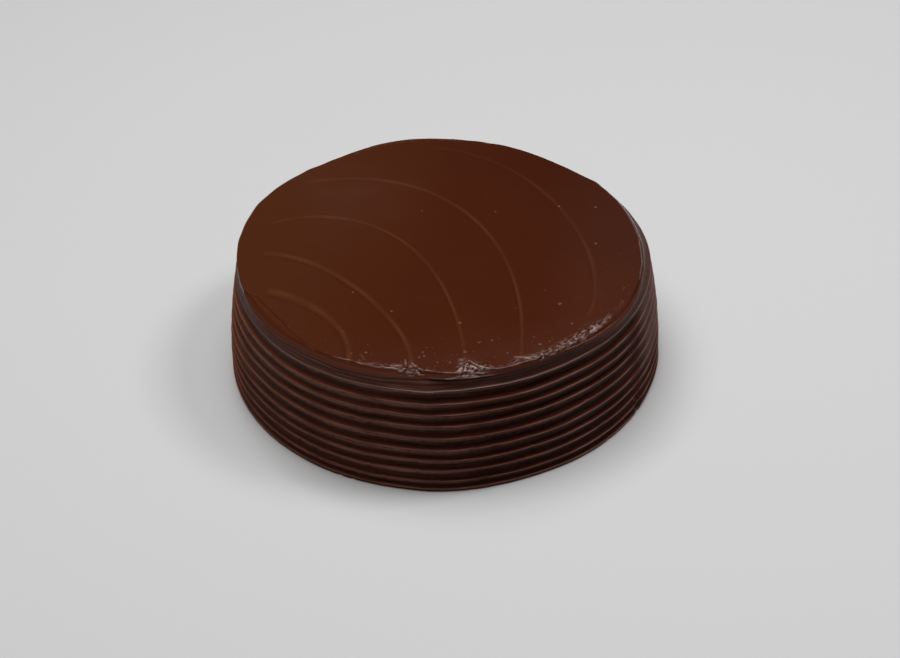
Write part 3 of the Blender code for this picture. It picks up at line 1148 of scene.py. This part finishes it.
@dataclass
class CombedSide:
    """The side of the frosting, ridged all the way round by a comb."""

    comb: Comb
    finish: ChocolateFinish
    steps: int = 600
    groove_stations: tuple[float, ...] = (
        0.0, 0.02, 0.06, 0.11, 0.17, 0.25, 0.34, 0.43, 0.52, 0.60, 0.68, 0.75, 0.81, 0.87, 0.92, 0.96, 0.985,
    )
    first_station: int = 3  # the foot's three points come before it
    covered: float = 0.3 * MM
    covered_from: float = 0.06
    lap: Table = ((-1.0, -0.05), (-4.0, -0.1))
    foot_tuck: float = 0.5 * MM
    # Painted highlight on the crests, painted shade in the grooves and painted sheen on the bands below
    # them.
    crest_highlight: float = 0.95
    crest_overlap: float = 0.03
    shade_starts: tuple[float, float] = (0.26, 0.52)
    shade_fade: float = 0.30
    band_starts: tuple[float, float] = (0.0, 0.04)
    band_ends: tuple[float, float] = (0.62, 0.36)
    band_most: float = 1.4
    gleam_starts: tuple[float, float] = (0.95, 0.99)
    # Streaks drawn as painted shade, painted highlight and painted band sheen.
    dark_streaks: float = 0.3
    pale_streaks: float = 0.07
    band_streaks: float = 0.4
    sheen_top: tuple[float, float] = (54.0 * MM, 50.0 * MM)
    sheen_foot: tuple[float, float] = (12.0 * MM, 26.0 * MM)
    sheen_in_grooves: float = 0.55
    # Painted light towards the left and the back of the side.
    painted_light_left: tuple[float, float] = (-72.0, -150.0)
    painted_light_rear: tuple[float, float] = (120.0, 175.0)
    # Rows of angle; how white the ridges' painted highlight is, how pale the upper side's painted sheen and
    # the bands' painted sheen are.
    gleam: Table = (
        (-180, 0.10, 0.0, 0.26), (-150, 0.05, 0.0, 0.18), (-120, 0.0, 0.0, 0.09), (-100, 0.04, 0.0, 0.08),
        (-75, 0.16, 0.0, 0.0), (-40, 0.20, 0.0, 0.05), (-28, 0.24, 0.03, 0.10), (-17, 0.30, 0.38, 0.10),
        (-5, 0.32, 0.48, 0.0), (5, 0.25, 0.40, 0.0), (25, 0.10, 0.0, 0.0), (90, 0.0, 0.0, 0.0),
    )
    # Rows of angle; how strong the painted shade in the grooves is, how strong the painted sheen on the
    # bands under the ridges is, and at which share of the way down a groove its painted shade ends.
    daylight: Table = (
        (-180, 0.40, 1.00, 0.93), (-150, 0.42, 0.90, 0.93), (-120, 0.38, 0.66, 0.92),
        (-103, 0.32, 0.66, 0.93), (-90, 0.52, 0.34, 0.95), (-75, 0.90, 0.26, 0.96),
        (-45, 1.00, 0.48, 0.97), (-20, 1.00, 0.75, 0.98), (0, 1.00, 0.85, 0.98),
        (60, 0.80, 0.25, 0.95), (120, 0.60, 0.35, 0.94),
    )

    def stations(self) -> list[tuple[int, float]]:
        """List the rings of the side.

        Returns:
            Ridge number and share of the way to the next ridge below, from the foot up.
        """
        last = len(self.comb.form.ridge_heights) - 1
        grooves = [(k, u) for k in range(last) for u in self.groove_stations]
        grooves.append((last, 0.0))
        return grooves[::-1]

    def profile(self) -> list[tuple[float, float]]:
        """The unshaped side.

        Returns:
            Radius and height of each point, from the axis below to the axis above.
        """
        foot = self.comb.form.foot_radius
        points = [(0.0, 0.0), (foot * 0.5, 0.0), (foot - self.foot_tuck, 0.0)]
        start = np.zeros(1)
        for ridge, share in self.stations():
            radius, height = self.comb.groove(ridge, share, start)
            points.append((float(radius[0]), float(height[0])))
        top_radius, top_height = points[-1]
        points += [(top_radius + r * MM, top_height + z * MM) for r, z in self.lap]
        lap_height = points[-1][1]
        points += [(top_radius * 0.5, lap_height), (0.0, lap_height)]
        return points

    def shape(self, mesh: bpy.types.Mesh) -> None:
        """Press the comb's grooves into the turned side and write its tints.

        Args:
            mesh: the turned side.
        """
        form = self.comb.form
        places = coordinates(mesh)
        stations = np.rint(read_attribute(mesh, "station")).astype(int)
        angle = np.arctan2(places[:, 1], places[:, 0])
        radius = np.hypot(places[:, 0], places[:, 1])
        height = places[:, 2].copy()
        for index, (ridge, share) in enumerate(self.stations(), start=self.first_station):
            at = stations == index
            radius[at], height[at] = self.comb.groove(ridge, share, angle[at])
            if ridge == 0:
                radius[at] -= self.covered * smoothstep(self.comb.first_undercut, self.covered_from, share)
        foot = stations == self.first_station - 1
        radius[foot] = form.ridge(len(form.ridge_heights) - 1, angle[foot])[0] - self.foot_tuck
        for index, (out, up) in enumerate(self.lap, start=self.first_station + len(self.stations())):
            at = stations == index
            top_radius, top_height = form.ridge(0, angle[at])
            radius[at] = top_radius + out * MM
            height[at] = top_height + up * MM
        move_to(mesh, np.column_stack([radius * np.cos(angle), radius * np.sin(angle), height]))
        self.tint(mesh, stations, angle, height)

    def tint(
        self, mesh: bpy.types.Mesh, stations: np.ndarray, angle: np.ndarray, height: np.ndarray
    ) -> None:
        """Write the painted highlight on the crests, the painted shade in the grooves, the painted sheen on
        the bands and the upper side, and the painted light towards the left and the back.

        Args:
            mesh: the shaped side.
            stations: each vertex's place in the profile.
            angle: each vertex's angle round the cake, in radians.
            height: each vertex's height.
        """
        shares = np.zeros(len(self.profile()))
        streaks = np.zeros(len(stations))
        for index, (_, share) in enumerate(self.stations(), start=self.first_station):
            shares[index] = share if share > 0.0 else 1.0
            at = stations == index
            level = np.random.RandomState(Seed.SIDE_STREAKS + index).uniform(-1.0, 1.0)
            slow = ripple(angle[at], Seed.SIDE_STREAKS + index, 3, 40, 0.4)
            streaks[at] = level + slow + ripple(angle[at], Seed.FINE_STREAKS + index, 40, 180, 0.3)
        share = shares[stations]
        pale_streak = np.maximum(streaks, 0.0)
        dark_streak = np.maximum(-streaks, 0.0)
        uneven = np.clip(1.0 + ripple(angle, Seed.CREST_TINT, 3, 40, 0.2), 0.4, 1.4)

        # Painted highlight on the crests.
        ends = table_at(angle, self.daylight, 3)
        rise = (share - ends + self.crest_overlap) / (1.0 + self.crest_overlap - ends)
        crest = self.crest_highlight * uneven * smoothstep(0.0, 1.0, rise)
        write_attribute(mesh, "crest", np.clip(crest + self.pale_streaks * pale_streak, 0.0, 1.0))

        # Painted shade in the grooves, deepened on dark streaks.
        shade = smoothstep(*self.shade_starts, share)
        shade = shade * smoothstep(0.0, 1.0, (ends - share) / self.shade_fade)
        shade = shade * table_at(angle, self.daylight, 1) + self.dark_streaks * dark_streak
        write_attribute(mesh, "shade", np.clip(shade, 0.0, 1.0))

        # Painted sheen on the bands under the ridges.
        band = smoothstep(*self.band_starts, share) * smoothstep(*self.band_ends, share)
        band = band * np.clip(1.0 + self.band_streaks * streaks, 0.3, self.band_most)
        write_attribute(mesh, "flank_and_sheen", np.clip(table_at(angle, self.daylight, 2) * band, 0.0, 1.0))

        # Painted sheen on the upper side and the bands, and painted highlight on the crests.
        sheen = table_at(angle, self.gleam, 2) * smoothstep(*self.sheen_top, height)
        sheen = sheen * smoothstep(*self.sheen_foot, height)
        sheen = sheen * (self.sheen_in_grooves + (1.0 - self.sheen_in_grooves) * band / self.band_most)
        gleam = table_at(angle, self.gleam, 1) * uneven * smoothstep(*self.gleam_starts, share)
        gleam = np.maximum(np.maximum(gleam, sheen), table_at(angle, self.gleam, 3) * band)
        write_attribute(mesh, "torn_and_painted_highlight", np.clip(gleam, 0.0, 1.0))

        # Painted light towards the left and the back.
        degrees = np.degrees(angle)
        painted_lit = smoothstep(*self.painted_light_left, degrees) + smoothstep(*self.painted_light_rear, degrees)
        write_attribute(mesh, "tone", painted_lit)

    def build(self) -> bpy.types.Object:
        """Model, shape and dress the side.

        Returns:
            The finished piece.
        """
        piece = turn_profile("combed_side", self.profile(), self.steps)
        self.shape(piece.data)
        finish_piece(piece, self.finish.material(), replaces_node=True)
        return piece


# ---------------------------------------------------------------- the smooth top


@dataclass
class RolledRim:
    """The plain shoulder, the rim with its folds and tears, and the outer band of the top.

    The body is closed: it goes down the inside of the top groove and under a lid inside the cake.
    Crowding packs its rings' vertices towards one angle, where the folds are finest.
    """

    form: CakeForm
    comb: Comb
    finish: ChocolateFinish
    band: float
    steps: int = 1200
    floor_points: int = 3
    lid_points: int = 3
    seam_lap: float = 0.01 * MM
    seam: float = 0.02 * MM
    under_shares: tuple[float, ...] = (0.26, 0.257, 0.21, 0.16, 0.12, 0.08, 0.05, 0.025, 0.01)
    wall_shares: tuple[float, ...] = (
        0.0, 0.015, 0.04, 0.07, 0.11, 0.16, 0.22, 0.29, 0.36, 0.43, 0.50, 0.56, 0.62, 0.67, 0.72, 0.77,
        0.81, 0.85, 0.88, 0.91, 0.94, 0.97,
    )
    bevel_steps: int = 12
    bevel_power: float = 1.2
    band_steps: int = 32
    flare_power: float = 14.0
    steepest: float = 1.35
    lean: float = 0.25
    most_lean: float = 0.95
    line_depth: float = 0.05 * MM
    buried: float = 3.0 * MM
    lid_gap: float = 0.3 * MM
    inner_lip: tuple[float, float] = (0.2 * MM, 0.6 * MM)  # middle, in from the bevel, and half width
    outer_lip: tuple[float, float] = (0.0 * MM, 0.36 * MM)
    lip_crease: tuple[float, float] = (0.9 * MM, 0.45 * MM)
    crease_depth: float = 0.12 * MM
    crease_share: float = 0.6
    # Distances in from the rim over which the folds turn from outwards to upwards, the top's sweeps
    # set in, the flank's colour ends and the wall's roughness sets in.
    turns_up: tuple[float, float] = (-1.6 * MM, 0.6 * MM)
    top_starts: tuple[float, float] = (0.0, 2.0 * MM)
    flank_ends: tuple[float, float] = (1.5 * MM, -0.5 * MM)
    wall_starts: tuple[float, float] = (-1.5 * MM, -3.2 * MM)
    # Shares of the wall's height over which the top ridge's painted highlight and gleam fade, and the
    # hollow's two ends, where its painted shade fades.
    ridge_highlight: tuple[float, float] = (0.08, 0.0)
    ridge_gleam: tuple[float, float] = (0.10, 0.0)
    hollow_foot: tuple[float, float] = (0.06, 0.2)
    hollow_head: tuple[float, float] = (1.0, 0.8)
    hollow_shade: float = 0.8
    crease_shade: float = 1.2
    # Streaks drawn as painted shade and painted highlight.
    dark_streaks: float = 0.5
    pale_streaks: float = 0.16
    wall_rough: float = 0.32
    torn_rough: float = 0.22
    # Rows of angle; how plainly the streaks show, how strong the painted shade on the shoulder is, how pale
    # the top ridge's painted highlight is.
    streaked: Table = (
        (-180, 0.5, 0.1, 0.20), (-140, 0.7, 0.0, 0.26), (-118, 1.0, 0.0, 0.38), (-95, 1.0, 0.0, 0.50),
        (-80, 0.5, 0.3, 0.80), (-60, 0.35, 0.5, 0.52), (-44, 0.3, 0.0, 0.50), (-30, 0.4, 0.0, 0.45),
        (0, 0.5, 0.0, 0.25), (90, 0.5, 0.1, 0.20),
    )
    crowding: float = 0.6
    crowded_at: float = math.radians(-82)

    def stations(self) -> list[tuple[str, float]]:
        """List the rings of the rim.

        Returns:
            Part of the profile and place in it, from the axis below round to the axis above.
        """
        listed = [("floor", 0.0), ("floor", 0.5), ("floor", 1.0)]
        listed += [("under", share) for share in self.under_shares]
        listed += [("wall", share) for share in self.wall_shares]
        listed += [("bevel", step / self.bevel_steps) for step in range(self.bevel_steps + 1)]
        listed += [("band", (step / self.band_steps) ** 1.2) for step in range(1, self.band_steps + 1)]
        listed += [("seam", 1.0), ("lid", 1.0), ("lid", 0.5), ("lid", 0.0)]
        return listed

    def place(
        self, part: str, share: float, angle: np.ndarray
    ) -> tuple[np.ndarray, np.ndarray, np.ndarray]:
        """Radius and height of one station at each angle, before folds.

        Args:
            part: which part of the profile.
            share: place in that part, from 0 to 1.
            angle: angles round the cake.

        Returns:
            Radii, heights and distances in from the rim, in metres.
        """
        form = self.form
        rim = form.rim(angle)
        width = table_at(angle, form.rim_edge, 1) * MM
        drop = table_at(angle, form.rim_edge, 2) * MM
        edge = rim - width
        top = form.top(edge * np.cos(angle), edge * np.sin(angle))
        foot_radius, foot_height = form.ridge(0, angle)
        foot_radius = foot_radius + self.seam_lap
        if part == "floor":
            radius, height = self.comb.groove(0, self.under_shares[0], angle)
            return (radius - self.buried) * share, height, height - top
        if part == "under":
            radius, height = self.comb.groove(0, share, angle)
            return radius + self.seam_lap, height, height - top
        if part == "wall":
            height = foot_height + share * (top - drop - foot_height)
            rise = self.steepest * (top - drop - foot_height) / np.maximum(foot_radius - rim, 0.1 * MM)
            lean = (self.flare_power - rise) / (self.flare_power - 1.0)
            lean = np.clip(lean, self.lean, self.most_lean)
            flare = lean * (1.0 - share) + (1.0 - lean) * (1.0 - share) ** self.flare_power
            radius = rim + (foot_radius - rim) * flare
            seed = Seed.SHOULDER_LINES + int(share * 60)
            line = np.random.RandomState(seed).uniform(-1.0, 1.0) * self.line_depth
            line = line + ripple(angle, seed, 2, 24, self.line_depth)
            hollow = table_at(angle, form.rim_edge, 6) * MM
            radius = radius + (line - hollow) * math.sin(math.pi * share)
            return radius, height, height - top
        if part == "bevel":
            turn = share * math.pi / 2.0
            power = 2.0 / self.bevel_power
            inward = width * (1.0 - math.cos(turn) ** power)
            below = drop * (1.0 - math.sin(turn) ** power)
            return rim - inward, top - below, inward - below
        if part in ("band", "seam"):
            inset = width + (self.band - width) * share + (self.seam if part == "seam" else 0.0)
            radius = rim - inset
            return radius, form.top(radius * np.cos(angle), radius * np.sin(angle)), inset
        radius = (rim - self.band - self.lid_gap) * share
        return radius, np.full_like(angle, form.height - self.buried), np.full_like(angle, 1.0)

    def lips(self, angle: np.ndarray, inset: np.ndarray) -> np.ndarray:
        """The raised lips at the bevel's inner and lower edge, and the crease under them.

        Args:
            angle: angles round the cake, in radians.
            inset: distances in from the rim.

        Returns:
            The thickness added, in metres.
        """
        edge = self.form.rim_edge
        width, drop = table_at(angle, edge, 1) * MM, table_at(angle, edge, 2) * MM
        upper, lower = table_at(angle, edge, 3) * MM, table_at(angle, edge, 4) * MM
        uneven = 1.0 + ripple(angle, Seed.LIPS, 8, 70, 0.25)
        inner = upper * uneven * bell(inset - width - self.inner_lip[0], self.inner_lip[1])
        outer = lower * uneven * bell(inset + drop + self.outer_lip[0], self.outer_lip[1])
        depth = self.crease_depth + self.crease_share * lower
        return inner + outer - depth * bell(inset + drop + self.lip_crease[0], self.lip_crease[1])

    def streaks(self, angle: np.ndarray, index: np.ndarray) -> np.ndarray:
        """The streaks that the comb's flat drew along the shoulder, drawn as painted highlight and painted
        shade.

        Args:
            angle: angles round the cake, in radians.
            index: each vertex's place in the profile.

        Returns:
            Painted light on each vertex, from painted shade at -1 to painted highlight at 1.
        """
        first = self.floor_points + len(self.under_shares)
        result = np.zeros(len(angle))
        for number in range(first + 2, first + len(self.wall_shares)):
            at = index == number
            seed = Seed.SHOULDER_STREAKS + number
            level = np.random.RandomState(seed).uniform(-0.9, 0.9)
            result[at] = level + ripple(angle[at], seed, 3, 30, 0.35)
        return np.clip(result, -1.0, 1.0) * table_at(angle, self.streaked, 1)

    def build(self) -> bpy.types.Object:
        """Model, shape and dress the rim.

        Returns:
            The finished piece.
        """
        stations = self.stations()
        start = np.zeros(1)
        profile = []
        for part, share in stations:
            radius, height, _ = self.place(part, share, start)
            profile.append((float(radius[0]), float(height[0])))
        piece = turn_profile("rolled_rim", profile, self.steps)
        mesh = piece.data
        places = coordinates(mesh)
        index = np.rint(read_attribute(mesh, "station")).astype(int)
        turned = np.arctan2(places[:, 1], places[:, 0])
        angle = turned - self.crowding * np.sin(turned - self.crowded_at)
        inset = np.zeros(len(places))
        radius = np.zeros(len(places))
        height = np.zeros(len(places))
        for number, (part, share) in enumerate(stations):
            at = index == number
            radius[at], height[at], inset[at] = self.place(part, share, angle[at])
        first = self.floor_points + len(self.under_shares)
        skin = (index >= first) & (index < len(stations) - self.lid_points)
        angle = angle_gap(angle, 0.0)
        added = np.zeros(len(places))
        painted_lightness = np.zeros(len(places))
        added[skin], painted_lightness[skin] = self.form.folded(angle[skin], inset[skin])
        added[skin] += self.lips(angle[skin], inset[skin])
        x, y = radius * np.cos(angle), radius * np.sin(angle)
        lift, crest, shade = self.form.swept(x, y)
        facing = 0.5 * math.pi * smoothstep(*self.turns_up, inset)
        radius = radius + added * np.cos(facing)
        on_top = np.where(skin, smoothstep(*self.top_starts, inset), 0.0)
        height = height + added * np.sin(facing) + lift * on_top
        height[skin] = np.minimum(height[skin], self.form.height - self.form.headroom)
        move_to(mesh, np.column_stack([radius * np.cos(angle), radius * np.sin(angle), height]))

        share = np.array([share if part in ("wall", "under") else 1.0 for part, share in stations])[index]
        # Painted highlight on the sweeps' crests and on the top ridge.
        write_attribute(mesh, "crest", np.maximum(crest * on_top, smoothstep(*self.ridge_highlight, share)))
        # The shoulder wall's paler colour.
        flank_and_sheen = smoothstep(*self.flank_ends, inset)
        write_attribute(mesh, "flank_and_sheen", flank_and_sheen)
        # Painted light towards one side of the top.
        write_attribute(mesh, "tone", self.form.tone(x, y) * on_top)

        # Painted shade: in the shoulder's hollow, by the sweeps' gutters, over the top's darker side, on the
        # shoulder, on dark streaks and in creases.
        streaks = self.streaks(angle, index)
        hollow = table_at(angle, self.form.rim_edge, 6)
        hollow = hollow * smoothstep(*self.hollow_foot, share) * smoothstep(*self.hollow_head, share)
        gloomy = np.maximum(self.hollow_shade * hollow, (shade + self.form.gloom(x, y)) * on_top)
        gloomy = np.maximum(gloomy, table_at(angle, self.streaked, 2) * flank_and_sheen)
        gloomy = gloomy + self.dark_streaks * np.maximum(-streaks, 0.0)
        write_attribute(mesh, "shade", np.clip(np.maximum(gloomy, -self.crease_shade * painted_lightness), 0.0, 1.0))

        # Painted highlight on the top ridge, torn frosting and pale streaks, and painted sheen on the top.
        gleam = table_at(angle, self.streaked, 3) * smoothstep(*self.ridge_gleam, share)
        painted_sheen_sum = self.form.painted_sheen(x, y) * on_top + self.pale_streaks * np.maximum(streaks, 0.0) + gleam
        write_attribute(mesh, "torn_and_painted_highlight", np.clip(np.maximum(painted_lightness, 0.0) + painted_sheen_sum, 0.0, 1.0))

        wall = smoothstep(*self.wall_starts, inset)
        write_attribute(mesh, "rough", self.wall_rough * wall + self.torn_rough * np.maximum(painted_lightness, 0.0))
        finish_piece(piece, self.finish.material(), replaces_node=True)
        return piece


@dataclass
class SweptTop:
    """The smooth top inside the rim, with the spatula's sweeps across it."""

    form: CakeForm
    finish: ChocolateFinish
    band: float
    lap: float = 0.3 * MM
    seam: float = 0.02 * MM
    sunk: float = 0.004 * MM
    sunk_power: int = 8
    steps: int = 720
    rings: int = 120
    thickness: float = 2.0 * MM

    def build(self) -> bpy.types.Object:
        """Model, shape and dress the top.

        Returns:
            The finished piece.
        """
        edge = self.form.rim_radius - self.band + self.lap
        level = self.form.height - self.form.top_face_drop
        profile = [(0.0, level - self.thickness), (edge, level - self.thickness)]
        profile += [(edge, level), (edge - self.seam, level)]
        profile += [(edge * (1.0 - step / self.rings), level) for step in range(1, self.rings + 1)]
        piece = turn_profile("swept_top", profile, self.steps)
        mesh = piece.data
        places = coordinates(mesh)
        index = np.rint(read_attribute(mesh, "station")).astype(int)
        angle = np.arctan2(places[:, 1], places[:, 0])
        share = np.hypot(places[:, 0], places[:, 1]) / edge
        radius = (self.form.rim(angle) - self.band + self.lap) * share
        x, y = radius * np.cos(angle), radius * np.sin(angle)
        shown = index > 1
        height = places[:, 2].copy()
        crown, crest, shade = self.form.crown(x, y)
        height[shown] = crown[shown] - self.sunk * share[shown] ** self.sunk_power
        move_to(mesh, np.column_stack([x, y, height]))
        # Painted highlight on the sweeps' crests, painted shade by their gutters and over the top's darker
        # side, painted light towards one side and painted sheen.
        write_attribute(mesh, "crest", crest)
        write_attribute(mesh, "shade", shade + self.form.gloom(x, y))
        write_attribute(mesh, "tone", self.form.tone(x, y))
        write_attribute(mesh, "torn_and_painted_highlight", self.form.painted_sheen(x, y))
        finish_piece(piece, self.finish.material(), replaces_node=True)
        return piece


# ---------------------------------------------------------------- what lies on the top


@dataclass
class AirBubbles:
    """Small bubbles under the skin of the frosting, most of them near the front of the rim."""

    form: CakeForm
    finish: ChocolateFinish
    count: int = 120
    seed: int = Seed.BUBBLES
    swollen: float = 1.3
    flatness: float = 0.36
    proud: float = 0.02
    crowd_angle: tuple[float, float] = (-78.0, 32.0)  # mean and spread, in degrees
    crowd_inset: float = 11.0
    least_inset: float = 2.2
    sizes: tuple[float, float] = (0.16, 0.40)
    # The plainest bubbles: place and radius.
    seen: Table = (
        (55.0, -48.5, 0.85), (59.0, 33.2, 0.6), (77.4, 31.9, 0.7), (75.3, 0.2, 0.7), (26.9, 29.9, 0.45),
        (-10.1, 32.4, 0.45), (-43.5, -35.1, 0.5), (-24.9, -51.1, 0.55), (7.3, -61.4, 0.7),
        (-9.7, -85.8, 0.6), (-36.5, -82.2, 0.65), (-43.2, -82.3, 0.4), (-35.9, -76.2, 0.35),
        (-27.0, -91.5, 0.4), (-12.0, -86.7, 0.6), (-10.2, -82.9, 0.5), (-8.5, -79.6, 0.35),
        (-3.6, -90.6, 0.45), (2.2, -91.0, 0.55), (15.6, -76.6, 0.5), (22.0, -75.3, 0.6),
        (9.2, -83.5, 0.8), (41.6, -73.7, 0.45), (44.1, -79.1, 0.8), (28.8, -84.9, 0.5),
        (48.8, -77.0, 0.4), (59.8, -64.1, 0.6), (34.1, -50.9, 0.35),
    )

    def spots(self) -> list[tuple[float, float, float]]:
        """Choose where the bubbles lie.

        Returns:
            Places and radii, in metres.
        """
        draw = np.random.RandomState(self.seed)
        listed = [(x * MM, y * MM, r * self.swollen * MM) for x, y, r in self.seen]
        while len(listed) < self.count:
            angle = math.radians(draw.normal(*self.crowd_angle))
            inset = abs(draw.normal(0.0, self.crowd_inset)) * MM + self.least_inset * MM
            rim = float(self.form.rim(np.array([angle]))[0])
            size = draw.uniform(*self.sizes) * MM
            listed.append(((rim - inset) * math.cos(angle), (rim - inset) * math.sin(angle), size))
        return listed

    def build(self) -> bpy.types.Object:
        """Model one bubble, copy it to every spot and join the copies.

        Returns:
            The finished piece.
        """
        deselect_all()
        bpy.ops.mesh.primitive_uv_sphere_add(segments=14, ring_count=8, radius=1.0)
        first = bpy.context.object
        first.name = "air_bubbles"
        first.data.name = "air_bubbles"
        ball = coordinates(first.data)
        copies = []
        spots = self.spots()
        places = np.array(spots)
        tops = self.form.crown(places[:, 0], places[:, 1])[0]
        highest = self.form.height - self.form.headroom
        for (x, y, size), top in zip(spots, tops):
            level = min(top + size * self.proud, highest - size * self.flatness)
            copy = bpy.data.objects.new("air_bubble_copy", first.data.copy())
            bpy.context.scene.collection.objects.link(copy)
            move_to(copy.data, ball * (size, size, size * self.flatness) + (x, y, level))
            copies.append(copy)
        deselect_all()
        for copy in copies:
            copy.select_set(True)
        bpy.context.view_layer.objects.active = copies[0]
        bpy.ops.object.join()
        piece = bpy.context.object
        old = first.data
        bpy.data.objects.remove(first)
        bpy.data.meshes.remove(old)
        piece.name = "air_bubbles"
        piece.data.name = "air_bubbles"
        bpy.ops.object.shade_smooth()
        finish_piece(piece, self.finish.material())
        return piece


# ---------------------------------------------------------------- studio


@dataclass(frozen=True)
class Studio:
    """A pale floor, soft light and the camera."""

    image_width: int = 900
    focal_pixels: float = 2200.0
    sensor: float = 36.0
    eye: tuple[float, float, float] = (2.8 * MM, -883.3 * MM, 690.7 * MM)
    look_down: float = 0.65413
    turn: float = -0.000286
    roll: float = -0.02543
    floor_size: float = 8.0
    floor_gap: float = 0.2 * MM
    floor_colour: Colour = (0.66, 0.66, 0.66)
    floor_roughness: float = 0.8
    floor_specular: float = 0.2
    sky: float = 0.035
    aim: tuple[float, float, float] = (0.0, 0.0, 0.03)
    # Each light panel's name, place, side and power in watts.
    panels: tuple[tuple[str, tuple[float, float, float], float, float], ...] = (
        ("overhead_panel", (-0.2, 0.16, 1.68), 1.15, 23.5),
        ("right_panel", (0.78, 0.12, 1.36), 0.45, 7.0),
        ("low_card", (0.0, -2.6, 0.2), 0.9, 1.3),
    )

    def build_camera(self) -> None:
        """Set the camera at its height, tilt and roll."""
        camera = bpy.data.cameras.new("camera")
        camera.sensor_width = self.sensor
        camera.lens = self.focal_pixels / self.image_width * self.sensor
        camera.clip_start = 0.01
        camera.clip_end = 50.0
        ahead = Vector((
            math.sin(self.turn) * math.cos(self.look_down),
            math.cos(self.turn) * math.cos(self.look_down),
            -math.sin(self.look_down),
        ))
        level = ahead.cross(Vector((0.0, 0.0, 1.0))).normalized()
        upright = level.cross(ahead)
        right = math.cos(self.roll) * level + math.sin(self.roll) * upright
        up = math.cos(self.roll) * upright - math.sin(self.roll) * level
        seat = Matrix((right, up, -ahead)).transposed().to_4x4()
        seat.translation = Vector(self.eye)
        holder = bpy.data.objects.new("camera", camera)
        holder.matrix_world = seat
        bpy.context.scene.collection.objects.link(holder)
        bpy.context.scene.camera = holder

    def build_floor(self) -> None:
        """Lay the plain pale floor."""
        deselect_all()
        bpy.ops.mesh.primitive_plane_add(size=self.floor_size, location=(0.0, 0.0, -self.floor_gap))
        floor = bpy.context.object
        floor.name = "floor"
        material = bpy.data.materials.new("pale_floor")
        material.use_nodes = True
        shader = material.node_tree.nodes["Principled BSDF"]
        shader.inputs["Base Color"].default_value = (*self.floor_colour, 1.0)
        shader.inputs["Roughness"].default_value = self.floor_roughness
        shader.inputs["Specular IOR Level"].default_value = self.floor_specular
        floor.data.materials.append(material)

    def panel(self, name: str, place: tuple[float, float, float], size: float, power: float) -> None:
        """Hang a soft light panel that faces the cake.

        Args:
            name: the light's name.
            place: where it hangs.
            size: its side.
            power: its power in watts.
        """
        light = bpy.data.lights.new(name, "AREA")
        light.shape = "SQUARE"
        light.size = size
        light.energy = power
        holder = bpy.data.objects.new(name, light)
        holder.location = place
        aim = Vector(self.aim) - Vector(place)
        holder.rotation_euler = aim.to_track_quat("-Z", "Y").to_euler()
        bpy.context.scene.collection.objects.link(holder)

    def build_light(self) -> None:
        """Light the set with an even sky and soft panels."""
        world = bpy.data.worlds.new("studio_sky")
        world.use_nodes = True
        background = world.node_tree.nodes["Background"]
        background.inputs["Color"].default_value = (self.sky, self.sky, self.sky, 1.0)
        background.inputs["Strength"].default_value = 1.0
        bpy.context.scene.world = world
        for name, place, size, power in self.panels:
            self.panel(name, place, size, power)

    def build(self) -> None:
        """Build the whole studio."""
        self.build_camera()
        self.build_floor()
        self.build_light()
        bpy.context.scene.view_settings.view_transform = "Standard"
        bpy.context.scene.view_settings.look = "None"


def main() -> None:
    """Build the cake piece by piece, then the studio round it."""
    logging.basicConfig(level=logging.INFO, format="%(relativeCreated)d %(name)s: %(message)s")
    low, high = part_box(NODE)
    form = CakeForm(height=float(high[2] - low[2]), foot_radius=float(high[0] - low[0]) / 2.0)
    combed = ChocolateFinish(
        "combed_chocolate",
        Grain.COMBED,
        deep=(0.060, 0.0142, 0.0078),
        warm=(0.072, 0.0172, 0.0092),
        # Painted light towards the left, painted sheen on the bands, painted shade in the grooves and
        # painted highlight on the crests.
        painted_light_tint=(0.112, 0.037, 0.021),
        flank_and_sheen=(0.228, 0.092, 0.062),
        shaded=(0.016, 0.0036, 0.0018),
        crest=(0.218, 0.074, 0.047),
        specular=0.065,
        smooth=0.26,
        dull=0.38,
        grain_depth=0.06 * MM,
        swell_depth=0.1 * MM,
    )
    smoothed = ChocolateFinish("smoothed_chocolate", Grain.SMOOTHED)
    # Bubbles paler than the frosting: a painted highlight.
    bubble_highlight = ChocolateFinish(
        "bubble_highlight",
        Grain.SMOOTHED,
        deep=(0.118, 0.046, 0.028),
        warm=(0.138, 0.054, 0.034),
        attributes=False,
    )
    comb = Comb(form)
    CombedSide(comb, combed).build()
    RolledRim(form, comb, smoothed, RIM_BAND).build()
    SweptTop(form, smoothed, RIM_BAND).build()
    AirBubbles(form, bubble_highlight).build()
    Studio().build()


if __name__ == "__main__":
    main()
